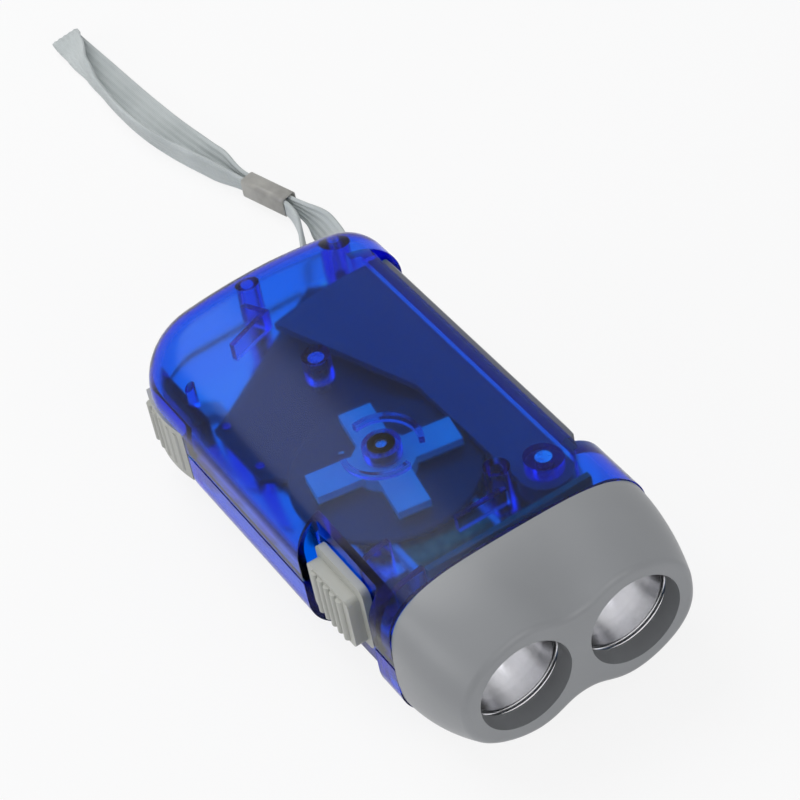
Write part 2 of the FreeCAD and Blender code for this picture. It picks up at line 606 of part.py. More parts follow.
def toothed_sector():
    """The curved rack: part of a wheel about the lever's pivot, whose teeth face the drive pinion."""
    root = SECTOR_PITCH - TOOTH_DEDENDUM * SECTOR_MODULE
    low, high = SECTOR_Z, SECTOR_Z + SECTOR_FACE
    pitch_deg = 360.0 / SECTOR_TEETH_ROUND
    outline = []
    first = DRIVE_DIRECTION_DEG - 2 * pitch_deg
    count = int((SECTOR_END_DEG - first) / pitch_deg)
    inner_radius = root - SECTOR_RIM
    for number in range(count):
        outline += tooth_points(PIVOT, SECTOR_TEETH_ROUND, SECTOR_MODULE, first + number * pitch_deg,
                                TOOTH_ADDENDUM, TOOTH_DEDENDUM)
    last = first + (count - 0.5) * pitch_deg
    start = PIVOT + direction(SECTOR_START_DEG) * (root - 0.01)
    end = PIVOT + direction(last) * (root - 0.01)
    back = [PIVOT + direction(smooth(last, SECTOR_START_DEG, step / 12)) * (inner_radius + 1) for step in range(13)]
    band = [(start.x, start.y)] + outline + [(end.x, end.y)] + [(p.x, p.y) for p in back]
    teeth = plate(band, low, high)
    arc = ring(PIVOT, root, inner_radius, low, high)
    arc = arc.common(sector(PIVOT, SECTOR_PITCH, SECTOR_START_DEG, last, low, high))
    return teeth.fuse(arc)


SPRING_WIRE = 0.8
SPRING_RADIUS = 3.1
SPRING_TURNS = 5


def make_lever_pivot():
    keep("lever_pin", post(PIVOT, LEVER_PIN_RADIUS, INNER_FLOOR - 0.7, PIN_TOP_Z))
    low = LEVER_LOW_Z + 4.6
    high = LEVER_HIGH_Z - 4.6 - SPRING_WIRE
    helix = Part.makeHelix((high - low) / SPRING_TURNS, high - low, SPRING_RADIUS)
    helix.translate(PIVOT + UP * low)
    start = PIVOT + V(SPRING_RADIUS, 0, low)
    profile = Part.Wire(Part.makeCircle(SPRING_WIRE / 2, start, SIDEWAYS))
    keep("lever_spring", Part.Wire(helix).makePipeShell([profile], True, True))


# Gear train
def make_gears():
    drive_top = WHEEL_Z + GEAR_FACE
    pinion_high = SECTOR_Z + SECTOR_FACE
    pinion = gear(DRIVE, DRIVE_PINION_TEETH, SECTOR_MODULE, meshed(PIVOT, DRIVE, DRIVE_PINION_TEETH),
                  SECTOR_Z, pinion_high)
    collar = post(DRIVE, RATCHET_ROOT, pinion_high - 0.5, WHEEL_Z)
    ratchet = plate(ratchet_outline(), WHEEL_Z, WHEEL_Z + RATCHET_FACE)
    pinion = fused([pinion, collar, ratchet]).cut(post(DRIVE, DRIVE_AXLE_RADIUS + RUNNING_CLEARANCE, 0, FAR / 4))
    keep("drive_pinion", pinion)

    wheel = gear(DRIVE, DRIVE_WHEEL_TEETH, WHEEL_MODULE, heading(DRIVE, MIDDLE), WHEEL_Z, drive_top)
    wheel = wheel.cut(post(DRIVE, PAWL_RING, 0, FAR / 4))
    keep("drive_wheel", fused([wheel] + [pawl(number) for number in range(PAWL_COUNT)] + wheel_lid(drive_top)))

    middle_top = MIDDLE_WHEEL_Z + GEAR_FACE
    small = gear(MIDDLE, MIDDLE_PINION_TEETH, WHEEL_MODULE, meshed(DRIVE, MIDDLE, MIDDLE_PINION_TEETH),
                 WHEEL_Z, MIDDLE_WHEEL_Z)
    large = gear(MIDDLE, MIDDLE_WHEEL_TEETH, WHEEL_MODULE, heading(MIDDLE, ROTOR), MIDDLE_WHEEL_Z, middle_top)
    hub = post(MIDDLE, 1.9, BOSS_TOP_Z + 0.1, WHEEL_Z)
    compound = fused([small, large, hub])
    holes = [post(MIDDLE, MIDDLE_AXLE_RADIUS + RUNNING_CLEARANCE, 0, FAR / 4)]
    for number in range(4):
        holes.append(post(MIDDLE + direction(45 + 90 * number) * 7.0, 2.0, MIDDLE_WHEEL_Z - 1, middle_top + 1))
    keep("middle_gear", compound.cut(holes))
    keep("drive_axle", post(DRIVE, DRIVE_AXLE_RADIUS, INNER_FLOOR - 0.7, PIN_TOP_Z))
    keep("middle_axle", post(MIDDLE, MIDDLE_AXLE_RADIUS, INNER_FLOOR - 0.7, COVER_TOP_Z))


RATCHET_FACE = 1.3
RATCHET_ROOT = 3.4
RATCHET_TIP = 4.6
PAWL_RING = 8.0
PAWL_WIDTH = 1.0


def ratchet_outline():
    points = []
    for number in range(RATCHET_TEETH):
        angle = 360.0 * number / RATCHET_TEETH
        for turn, radius in ((0, RATCHET_ROOT), (2, RATCHET_TIP)):
            at = DRIVE + direction(angle + turn) * radius
            points.append((at.x, at.y))
    return points


def pawl(number):
    """A springy finger from the wheel's ring to a step of the ratchet."""
    angle = 360.0 * number / PAWL_COUNT
    root = DRIVE + direction(angle + 62) * (PAWL_RING + 0.5)
    tip = DRIVE + direction(angle + 8) * (RATCHET_TIP + RUNNING_CLEARANCE)
    along = root - tip
    along.normalize()
    across = V(along.y, -along.x, 0) * PAWL_WIDTH
    corners = [tip, root, root + across, tip + across]
    return plate([(p.x, p.y) for p in corners], WHEEL_Z, WHEEL_Z + RATCHET_FACE)


def wheel_lid(top):
    """The wheel's thin web, which runs on the axle above the ratchet."""
    lid = post(DRIVE, PAWL_RING + 0.5, WHEEL_Z + RATCHET_FACE + 0.1, top)
    return [lid.cut(post(DRIVE, DRIVE_AXLE_RADIUS + RUNNING_CLEARANCE, 0, FAR / 4))]


def make_rotor():
    bush_bore = SHAFT_RADIUS + RUNNING_CLEARANCE
    keep("rotor_shaft", post(ROTOR, SHAFT_RADIUS, BOSS_TOP_Z - 0.6, BUSH_TOP_Z - 0.3))
    keep("bottom_bush", ring(ROTOR, BUSH_RADIUS, bush_bore, BOSS_TOP_Z, BOSS_TOP_Z + BUSH_HEIGHT))
    keep("top_bush", ring(ROTOR, BUSH_RADIUS, bush_bore, BUSH_TOP_Z - BUSH_HEIGHT, BUSH_TOP_Z))
    pinion_top = MIDDLE_WHEEL_Z + GEAR_FACE
    pinion = gear(ROTOR, ROTOR_PINION_TEETH, WHEEL_MODULE, meshed(MIDDLE, ROTOR, ROTOR_PINION_TEETH),
                  MIDDLE_WHEEL_Z, pinion_top)
    spacer = post(ROTOR, 1.9, BOSS_TOP_Z + BUSH_HEIGHT + 0.2, MIDDLE_WHEEL_Z)
    sleeve = post(ROTOR, 2.2, pinion_top, FLYWHEEL_Z)
    shaft_hole = post(ROTOR, SHAFT_RADIUS + SEAT_CLEARANCE, 0, FAR / 4)
    keep("rotor_pinion", fused([pinion, spacer, sleeve]).cut(shaft_hole))
    keep("rotor_magnet", ring(ROTOR, MAGNET_RADIUS, 2.2 + SEAT_CLEARANCE, MAGNET_Z, FLYWHEEL_Z))
    disc = ring(ROTOR, FLYWHEEL_RADIUS, SHAFT_RADIUS + SEAT_CLEARANCE, FLYWHEEL_Z, CROSS_Z)
    keep("flywheel", disc.makeChamfer(0.3, [edge for edge in disc.Edges if edge.BoundBox.XLength > 30]))
    keep("rotor_cross", cross_hub(shaft_hole))


def cross_hub(shaft_hole):
    """The moulded hub with four arms that clamps the flywheel."""
    high = CROSS_Z + CROSS_THICKNESS
    arms = []
    for number in (0, 1):
        half = CROSS_ARM_WIDTH / 2
        arm = box(-CROSS_ARM_LENGTH, CROSS_ARM_LENGTH, -half, half, high - 1.6, high)
        arm.rotate(V(0, 0, 0), UP, CROSS_ANGLE_DEG + 90 * number)
        arm.translate(ROTOR)
        arms.append(arm)
    hub = post(ROTOR, 5.6, CROSS_Z, high)
    return fused(arms + [hub]).cut(shaft_hole)


def make_stator():
    shoe_inner = MAGNET_RADIUS + POLE_GAP
    shoe_outer = shoe_inner + POLE_THICKNESS
    low, high = STATOR_Z, STATOR_Z + STATOR_THICKNESS
    shoes = ring(ROTOR, shoe_outer, shoe_inner, low, high)
    shoes = shoes.cut(box(ROTOR_X - FAR, ROTOR_X + FAR, ROTOR_Y - 1.5, ROTOR_Y + 1.5, low - 1, high + 1))
    back = STATOR_POST.x
    half = STATOR_LEG / 2
    pieces = [shoes]
    leg_y = shoe_inner + POLE_THICKNESS / 2
    for side in (-1, 1):
        y = ROTOR_Y + side * leg_y
        leg = box(ROTOR_X, back + half, y - half, y + half, low, high)
        pieces.append(leg.cut(post(ROTOR, shoe_inner, low - 1, high + 1)))
    pieces.append(box(back - half, back + half, ROTOR_Y - leg_y, ROTOR_Y + leg_y, low, high))
    pieces.append(post(STATOR_POST, 2.8, low, high))
    core = fused(pieces)
    core = core.cut([post(STATOR_POST, SCREW_HOLE_RADIUS, 0, FAR / 4), post(STATOR_NIB, 0.85, 0, FAR / 4)])
    keep("stator_core", core)

    coil_end = leg_y - half - 0.35
    mid_z = (low + high) / 2
    gap = 0.15
    tube_half_x, tube_half_z = half + gap + 0.8, STATOR_THICKNESS / 2 + gap + 0.6

    def block(half_x, half_z, y0, y1):
        return box(back - half_x, back + half_x, y0, y1, mid_z - half_z, mid_z + half_z)

    y0, y1 = ROTOR_Y - coil_end, ROTOR_Y + coil_end
    bobbin = fused([
        block(tube_half_x, tube_half_z, y0, y1),
        block(COIL_HALF_X + 0.4, COIL_HALF_Z + 0.2, y0, y0 + 1.0),
        block(COIL_HALF_X + 0.4, COIL_HALF_Z + 0.2, y1 - 1.0, y1),
    ])
    keep("coil_bobbin", bobbin.cut(block(half + gap, STATOR_THICKNESS / 2 + gap, y0 - 1, y1 + 1)))
    winding = block(COIL_HALF_X, COIL_HALF_Z, y0 + 1.05, y1 - 1.05)
    winding = rounded(winding, 1.6, lambda edge: abs(edge.tangentAt(edge.FirstParameter).y) > 0.999)
    keep("coil_winding", winding.cut(block(tube_half_x + 0.03, tube_half_z + 0.03, y0, y1)))


COIL_HALF_X = 4.5
COIL_HALF_Z = 3.3


def make_gear_cover():
    """Dark plate over the gears that holds the top of the middle axle."""
    outline = [(-47.0, 9.3), (-27.6, -19.9), (-26.5, -22.4), (-10.5, -22.4), (-4.0, -14.0), (-4.0, 8.0)]
    outline += [(-2.0, 12.0), (-20.0, 14.0), (-44.5, 14.0)]
    cover = plate(outline, COVER_Z, COVER_TOP_Z)
    holes = [post(ROTOR, MAGNET_RADIUS + POLE_GAP, 0, FAR / 4)]
    holes.append(post(DRIVE, DRIVE_AXLE_RADIUS + SEAT_CLEARANCE, 0, FAR / 4))
    holes.append(post(MIDDLE, MIDDLE_AXLE_RADIUS + SEAT_CLEARANCE, 0, FAR / 4))
    for place in COVER_PILLARS:
        holes.append(post(place, PILLAR_RADIUS / 2 + SEAT_CLEARANCE, 0, FAR / 4))
    keep("gear_cover", cover.common(body_form(WALL + 0.3)).cut(holes))


# Electrical pieces
def make_electrics():
    outline = box(BOARD_X, BOARD_X + BOARD_THICKNESS, -13.6, 19.0, BOARD_LOW_Z, 26.0)
    keep("circuit_board", outline.common(body_form(WALL + 0.4)))
    keep("button_cell", button_cell())
    strip_z = CELL_Z + CELL_HEIGHT + 0.05
    strip = box(CELL.x - 6, BOARD_X - 0.05, CELL.y - 2, CELL.y + 2, strip_z, strip_z + 0.3)
    tab = box(BOARD_X - 0.35, BOARD_X - 0.05, CELL.y - 2, CELL.y + 2, strip_z, strip_z + 4)
    keep("cell_clip", fused([strip, tab]))
    keep("switch_body", switch_housing())
    lead_radius = 0.45
    coil_x = STATOR_POST.x + COIL_HALF_X + 0.45
    board = BOARD_X - 0.05
    mid_z = STATOR_Z + STATOR_THICKNESS / 2
    for name, y, z in (("red_lead", -12.6, 1.6), ("black_lead", -9.4, -1.4)):
        start = V(coil_x, ROTOR_Y - 7.1, mid_z + z)
        route = [start, start + V(1.4, 0, 0), V(board - 1.4, y, mid_z + 3 * z), V(board, y, mid_z + 3 * z)]
        keep(name, round_tube(route, lead_radius))


def button_cell():
    can = Part.makeCylinder(CELL_RADIUS, CELL_HEIGHT - 0.4, V(CELL.x, CELL.y, CELL_Z), UP)
    cap = Part.makeCylinder(CELL_RADIUS - 1.1, CELL_HEIGHT, V(CELL.x, CELL.y, CELL_Z), UP)
    return fused([can, cap])


SWITCH_BODY = (22.7, 30.3)
SLIDER_BACK_X = 11.0
SLIDER_LENGTH = 15.1
SWITCH_BODY_Y = (-20.3, -16.4)


def switch_housing():
    """The small slide switch: a can with a slot on the side of the slider's stem."""
    low, high = SWITCH_Z - 4.0, SWITCH_Z + 4.6
    can = box(SWITCH_BODY[0], SWITCH_BODY[1], SWITCH_BODY_Y[0], SWITCH_BODY_Y[1], low, high)
    slot_low = SWITCH_STEM[0] - 0.3
    slot_high = SWITCH_STEM[1] + SWITCH_TRAVEL + 0.3
    half = STEM_HALF_HEIGHT + 0.3
    slot = box(max(slot_low, SWITCH_BODY[0] - 1), slot_high, SWITCH_BODY_Y[0] - 1, SWITCH_BODY_Y[0] + 1.9,
               SWITCH_Z - half, SWITCH_Z + half)
    return can.cut(slot)


def ribbed_pad(x0, x1, y_in, y_out, z0, z1, corner):
    """A slider's finger pad: upright rounded ribs on a rounded block."""
    block = box(x0, x1, y_out + 0.7, y_in, z0, z1)
    block = rounded(block, corner, lambda edge: abs(edge.tangentAt(edge.FirstParameter).y) > 0.999)
    ribs = [block]
    count = int((x1 - x0 - 1.2) / RIB_PITCH)
    first = (x0 + x1) / 2 - RIB_PITCH * (count - 1) / 2
    for number in range(count):
        x = first + RIB_PITCH * number
        bar = Part.makeCylinder(0.75, z1 - z0 - 1.6, V(x, y_out + 0.75, z0 + 0.8), UP)
        ribs.append(bar)
    return fused(ribs)


def make_sliders():
    inner = SWITCH_POCKET_Y - SLIDER_CLEARANCE
    low, high = SWITCH_Z - 5.2, SWITCH_Z + 9.2
    base = box(SLIDER_BACK_X, SLIDER_BACK_X + SLIDER_LENGTH, inner - SLIDER_PLATE, inner, low, high)
    base = rounded(base, 1.6, lambda edge: abs(edge.tangentAt(edge.FirstParameter).y) > 0.999)
    pad = ribbed_pad(SLIDER_BACK_X + 0.4, SLIDER_BACK_X + SLIDER_LENGTH - 1.6, inner - SLIDER_PLATE + 0.1, -27.3, low + 1.0, high - 2.4, 1.2)
    half = STEM_HALF_HEIGHT
    stem = box(SWITCH_STEM[0], SWITCH_STEM[1], inner - 0.5, SWITCH_BODY_Y[0] + 1.6, SWITCH_Z - half, SWITCH_Z + half)
    keep("switch_slider", fused([base, pad, stem]))

    inner = LOCK_POCKET_Y - SLIDER_CLEARANCE
    low, high = LOCK_Z - 6.2, LOCK_Z + 5.6
    outer_arc = Part.Arc(V(-48.6, -25.4, low), V(-42.4, -26.75, low), V(-34.2, -26.2, low)).toShape()
    edges = [outer_arc, Part.makeLine(V(-34.2, -26.2, low), V(-34.2, inner - 1.3, low))]
    edges += [Part.makeLine(V(-34.2, inner - 1.3, low), V(-35.5, inner, low))]
    edges += [Part.makeLine(V(-35.5, inner, low), V(-48.6, inner, low))]
    edges += [Part.makeLine(V(-48.6, inner, low), V(-48.6, -25.4, low))]
    body = Part.Face(Part.Wire(edges)).extrude(UP * (high - low))
    bars = []
    for number in range(5):
        x = -46.6 + 2.5 * number
        bars.append(Part.makeCylinder(0.9, high - low - 3.0, V(x, -26.2 + 0.012 * (x + 41) ** 2, low + 1.5), UP))
    catch = [(LOCK_STEM[0], inner - 0.5), (LOCK_STEM[1], inner - 0.5), (LOCK_STEM[1], -17.5), (LOCK_STEM[1] + 2.0, -16.2)]
    catch += [(LOCK_STEM[1] + 2.0, -15.2), (LOCK_STEM[0] + 1.8, -15.2), (LOCK_STEM[0], -17.5)]
    stem = plate(catch, LOCK_Z - half, LOCK_Z + half)
    keep("lock_slider", fused([body, stem] + bars))


def make_screws():
    screws = []
    for place, seat in SCREW_PLACES:
        head = post(place, SCREW_HEAD_RADIUS, seat - SCREW_HEAD_HEIGHT, seat)
        head = head.cut(post(place, 0.9, seat - SCREW_HEAD_HEIGHT - 1, seat - 0.7))
        length = SCREW_LENGTH + (STATOR_Z - seat if seat == STATOR_SEAT_Z else 0) * 0.6
        screws.append(fused([head, post(place, SCREW_RADIUS, seat - 0.1, seat + length)]))
    keep("case_screws", *screws)


# Routes of round leads and of the flat strap: straight runs joined by tangent arcs
def smooth_route(points):
    edges = []
    radii = []
    start = points[0]
    for before, corner, after in zip(points, points[1:], points[2:]):
        back = before - corner
        ahead = after - corner
        shorter = min(back.Length, ahead.Length)
        half_turn = (math.pi - back.getAngle(ahead)) / 2
        radius = 0.45 * shorter / math.tan(half_turn)
        reach = 0.45 * shorter
        back.normalize()
        ahead.normalize()
        enter = corner + back * reach
        leave = corner + ahead * reach
        inward = back + ahead
        inward.normalize()
        middle = corner + inward * (radius / math.cos(half_turn) - radius)
        edges.append(Part.LineSegment(start, enter).toShape())
        edges.append(Part.Arc(enter, middle, leave).toShape())
        radii.append(radius)
        start = leave
    edges.append(Part.LineSegment(start, points[-1]).toShape())
    return Part.Wire(edges), radii


def round_tube(points, radius):
    route, _ = smooth_route(points)
    heading_in = points[1] - points[0]
    profile = Part.Wire(Part.makeCircle(radius, points[0], heading_in))
    return route.makePipeShell([profile], True, True)


STRAP_POINTS = [
    (-44.2, 16.8, 9.2), (-44.2, 20.8, 9.2), (-50.3, 21.1, 8.9), (-59.0, 23.2, 6.6), (-68.0, 27.0, 4.2),
    (-76.5, 29.3, 3.5), (-84.8, 29.7, 3.5), (-91.2, 28.7, 3.5), (-101.0, 26.3, 3.4), (-112.0, 24.2, 3.1),
    (-126.0, 22.9, 3.0), (-142.0, 22.1, 3.0), (-157.0, 21.6, 3.0), (-167.4, 21.6, 3.0), (-173.8, 21.3, 3.0),
    (-174.4, 17.3, 3.0), (-167.8, 17.4, 3.0), (-155.0, 17.0, 3.0), (-141.0, 16.7, 3.0), (-127.0, 17.8, 3.0),
    (-114.0, 20.9, 3.1), (-101.2, 24.8, 3.4), (-91.5, 27.0, 3.5), (-85.2, 26.3, 3.5), (-77.5, 23.4, 3.5),
    (-68.5, 18.6, 4.2), (-59.5, 14.5, 6.6), (-50.4, 12.5, 8.9), (-44.2, 12.6, 9.2), (-44.2, 16.8, 9.2),
]


def make_strap():
    points = [V(*point) for point in STRAP_POINTS]
    route, radii = smooth_route(points)
    half_width, half_thick = STRAP_WIDTH / 2, STRAP_THICKNESS / 2
    start = points[0]
    along = points[1] - points[0]
    along.normalize()
    across = V(-along.y, along.x, 0)
    corners = [start + across * (a * half_thick) + UP * (b * half_width) for a, b in ((1, 1), (-1, 1), (-1, -1), (1, -1))]
    profile = Part.makePolygon(corners + corners[:1])
    sweep = Part.BRepOffsetAPI.MakePipeShell(route)
    sweep.setBiNormalMode(UP)
    sweep.add(profile, False, False)
    sweep.build()
    sweep.makeSolid()
    strap = sweep.shape()
    print("strap route", round(route.Length, 1), "mm, least radius", round(min(radii), 1))
    print("strap volume", round(strap.Volume, 1), "of", round(route.Length * STRAP_WIDTH * STRAP_THICKNESS, 1))
    keep("strap", strap)

    near = (points[21] + points[22]) * 0.5
    far = (points[7] + points[8]) * 0.5
    centre = (near + far) * 0.5
    turn = heading(points[8], points[7])
    inner_y = STRAP_THICKNESS + 1.1
    inner_z = STRAP_WIDTH / 2 + 0.15
    outer = box(-SLEEVE_LENGTH / 2, SLEEVE_LENGTH / 2, -inner_y - SLEEVE_WALL, inner_y + SLEEVE_WALL,
                -inner_z - SLEEVE_WALL, inner_z + SLEEVE_WALL)
    outer = rounded(outer, 1.0, lambda edge: abs(edge.tangentAt(edge.FirstParameter).x) > 0.999)
    sleeve = outer.cut(box(-SLEEVE_LENGTH, SLEEVE_LENGTH, -inner_y, inner_y, -inner_z, inner_z))
    sleeve.rotate(V(0, 0, 0), UP, turn)
    sleeve.translate(centre)
    keep("strap_sleeve", sleeve)


def main():
    housing = hollow_housing()
    keep("top_shell", make_top_shell(housing))
    keep("bottom_shell", make_bottom_shell(housing))
    keep("head_bezel", make_head())
    make_lamps()
    make_lever()
    make_lever_pivot()
    make_gears()
    make_gear_cover()
    make_rotor()
    make_stator()
    make_electrics()
    make_sliders()
    make_screws()
    make_strap()
    os.makedirs("parts", exist_ok=True)
    for name, shape in PARTS.items():
        shape.exportStep(os.path.join("parts", name + ".step"))
        solids = shape.Solids
        valid = all(solid.isValid() for solid in solids)
        print(f"{name:16s} solids {len(solids)} volume {shape.Volume:9.2f} valid {valid}")


main()
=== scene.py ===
# %% [markdown]
# A palm-sized dynamo torch: a clear blue housing over a gear train, a grey head with two lamps, a hand
# lever, two sliders and a wrist strap. The engineering model is loaded first as a fixed frame. Everything
# here is in metres in that frame, so a new piece goes exactly where the model says.

# %% Load the engineering model
import math

import bmesh
import bpy
from mathutils import Matrix, Vector


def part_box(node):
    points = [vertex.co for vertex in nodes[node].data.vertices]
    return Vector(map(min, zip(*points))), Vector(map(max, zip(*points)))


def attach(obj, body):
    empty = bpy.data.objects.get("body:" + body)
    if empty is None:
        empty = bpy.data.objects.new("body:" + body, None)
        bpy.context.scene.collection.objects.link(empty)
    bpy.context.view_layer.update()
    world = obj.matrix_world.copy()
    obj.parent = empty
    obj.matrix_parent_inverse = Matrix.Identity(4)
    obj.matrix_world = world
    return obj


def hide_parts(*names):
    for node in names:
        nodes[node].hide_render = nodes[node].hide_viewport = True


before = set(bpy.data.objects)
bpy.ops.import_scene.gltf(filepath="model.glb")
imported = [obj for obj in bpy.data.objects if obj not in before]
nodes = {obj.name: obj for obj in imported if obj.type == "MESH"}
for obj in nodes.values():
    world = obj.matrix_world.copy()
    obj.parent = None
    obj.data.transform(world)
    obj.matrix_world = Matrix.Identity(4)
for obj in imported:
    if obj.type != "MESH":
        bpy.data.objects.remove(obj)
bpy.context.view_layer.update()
print("nodes:", len(nodes))

# %% [markdown]
# The camera comes first, because every later choice is judged through it. Its place was found by lining
# up the housing's posts, lamps and outline with the photograph. A long lens, 132 mm on a 36 mm sensor,
# gives the mild perspective of a product picture taken from about half a metre.

# %% The camera
CAMERA_PLACE = Vector((0.330624, -0.147997, 0.375897))
CAMERA_AHEAD = Vector((-0.66122725, 0.30136614, -0.68699125))
CAMERA_UP = Vector((-0.5265002, 0.46591498, 0.71114047))

camera_data = bpy.data.cameras.new("camera")
camera_data.lens = 132.4
camera_data.sensor_width = 36.0
camera_data.sensor_fit = "HORIZONTAL"
camera = bpy.data.objects.new("camera", camera_data)
bpy.context.collection.objects.link(camera)
side = CAMERA_AHEAD.cross(CAMERA_UP).normalized()
up = side.cross(CAMERA_AHEAD).normalized()
turned = Matrix((side, up, -CAMERA_AHEAD)).transposed().to_4x4()
camera.matrix_world = Matrix.Translation(CAMERA_PLACE) @ turned
bpy.context.scene.camera = camera
print("camera at", [round(c, 3) for c in CAMERA_PLACE])

# %% [markdown]
# The strap is a flat woven tape folded into a loop, both ends held round a post in the housing. Its middle
# line is a smooth spline near the points that the solid follows. One strand stands on edge and the other
# lies back until it is nearly flat, so each point of the route has its own tilt, in degrees from upright.
# A flat tape could also be a cloth simulation, but a strap with a known route is simpler to draw directly.

# %% The strap's route
STRAP_ROUTE = [
    (-0.04345, 0.0176, 0.0092), (-0.04345, 0.0216, 0.0092), (-0.04955, 0.0219, 0.0089),
    (-0.05825, 0.0240, 0.0066), (-0.06725, 0.0278, 0.0042), (-0.07575, 0.0301, 0.0035),
    (-0.08405, 0.0304, 0.0034), (-0.09045, 0.0293, 0.0034), (-0.10025, 0.0269, 0.0034),
    (-0.11025, 0.0250, 0.0031), (-0.12525, 0.0232, 0.0021), (-0.14125, 0.0223, 0.0017),
    (-0.15625, 0.0218, 0.0017), (-0.16665, 0.0215, 0.0016), (-0.17430, 0.0215, 0.0013),
    (-0.17430, 0.0215, 0.0028), (-0.16705, 0.0205, 0.0033), (-0.15800, 0.0189, 0.0034),
    (-0.14900, 0.0178, 0.0034), (-0.13800, 0.0173, 0.0034), (-0.12625, 0.0184, 0.0034),
    (-0.11325, 0.0217, 0.0034), (-0.10045, 0.0257, 0.0034), (-0.09075, 0.0281, 0.0034),
    (-0.08445, 0.0276, 0.0034), (-0.07675, 0.0242, 0.0035), (-0.06775, 0.0194, 0.0042),
    (-0.05875, 0.0153, 0.0066), (-0.04965, 0.0133, 0.0089), (-0.04345, 0.0134, 0.0092),
    (-0.04345, 0.0176, 0.0092),
]
STRAP_TILT = [0, 0, 10, 35, 48, 44, 16, 2, 4, 34, 62, 68, 72, 80, 86,
              80, 40, 6, -10, -14, -14, -10, -3] + [0] * 8
STRAP_WIDTH = 0.0064
STRAP_THICKNESS = 0.0010
SPLINE_STEPS = 16


def spline_points(route, name):
    """The points of a smooth spline near the route, read from a curve with no bevel."""
    curve = bpy.data.curves.new(name, "CURVE")
    curve.dimensions = "3D"
    spline = curve.splines.new("NURBS")
    spline.points.add(len(route) - 1)
    for point, place in zip(spline.points, route):
        point.co = (*place, 1.0)
    spline.order_u = 3
    spline.use_endpoint_u = True
    spline.resolution_u = SPLINE_STEPS
    holder = bpy.data.objects.new(name, curve)
    line = bpy.data.meshes.new_from_object(holder)
    points = [vertex.co.copy() for vertex in line.vertices]
    bpy.data.objects.remove(holder)
    bpy.data.meshes.remove(line)
    return points


strap_line = spline_points(STRAP_ROUTE, "strap_line")

# %% [markdown]
# The tape's section has five soft ridges on each face, as a tape woven over lengthwise cords has, and its
# two edges are thinner than its middle.

# %% The strap's section
RIDGES = 5
RIDGE_STEPS = 6
RIDGE_DEPTH = 0.00013
EDGE_STEPS = 3
EDGE_THICKNESS = 0.55


def tape_section():
    """Points round the tape: across is the thin way, height the wide way."""
    half_width = STRAP_WIDTH / 2
    half_thick = STRAP_THICKNESS / 2
    steps = RIDGES * RIDGE_STEPS
    face = []
    for step in range(steps + 1):
        share = step / steps
        height = -half_width + STRAP_WIDTH * share
        wave = RIDGE_DEPTH * (0.5 - 0.5 * math.cos(2 * math.pi * RIDGES * share))
        edge = min(1.0, min(share, 1 - share) * steps / EDGE_STEPS)
        thin = EDGE_THICKNESS + (1 - EDGE_THICKNESS) * edge
        face.append(((half_thick - RIDGE_DEPTH) * thin + wave * edge, height))
    back = [(-across, height) for across, height in reversed(face)]
    return face + back


section_points = tape_section()
print("points round the tape", len(section_points))

# %% [markdown]
# Two rules steer the sweep. The tilts are blended smoothly from one route point to the next, and the tape
# is gathered to a little over half its width where the sleeve holds it.

# %% How the strap twists and gathers
SLEEVE_MIDDLE = Vector((-0.09575, 0.02740, 0.0034))
SLEEVE_WAY = Vector((0.00975, 0.00270, 0)).normalized()
SLEEVE_GATHER = 0.58
GATHERED_REACH = 0.0065
GATHERED_RUN = 0.010


def eased(share):
    """A share from 0 to 1 that starts and ends gently."""
    return share * share * (3 - 2 * share)


def wide_way(share):
    """The tape's wide direction, upright where the tilt is 0 and nearly level where it is over 60."""
    place = share * (len(STRAP_TILT) - 1)
    first = min(int(place), len(STRAP_TILT) - 2)
    blend = eased(place - first)
    tilt = math.radians(STRAP_TILT[first] * (1 - blend) + STRAP_TILT[first + 1] * blend)
    return Vector((0, math.sin(tilt), math.cos(tilt)))


def gathered(point):
    """The share of its width that the tape has left: less inside the sleeve, all of it further away."""
    away = abs(point.x - SLEEVE_MIDDLE.x)
    share = min(1.0, max(0.0, (away - GATHERED_REACH) / GATHERED_RUN))
    return SLEEVE_GATHER + (1 - SLEEVE_GATHER) * eased(share)


print("the tape is", round(gathered(SLEEVE_MIDDLE) * STRAP_WIDTH * 1000, 2), "mm wide in its sleeve")

# %% [markdown]
# Sweeping the section along the line keeps the ridges running with the tape. The sweep also writes the UV
# map that the weave is drawn on: U in centimetres along the tape, V round its section.

# %% The strap's sweep
WEAVE_CORNERS = ((0, 0), (1, 0), (1, 1), (0, 1))
CENTIMETRES = 100


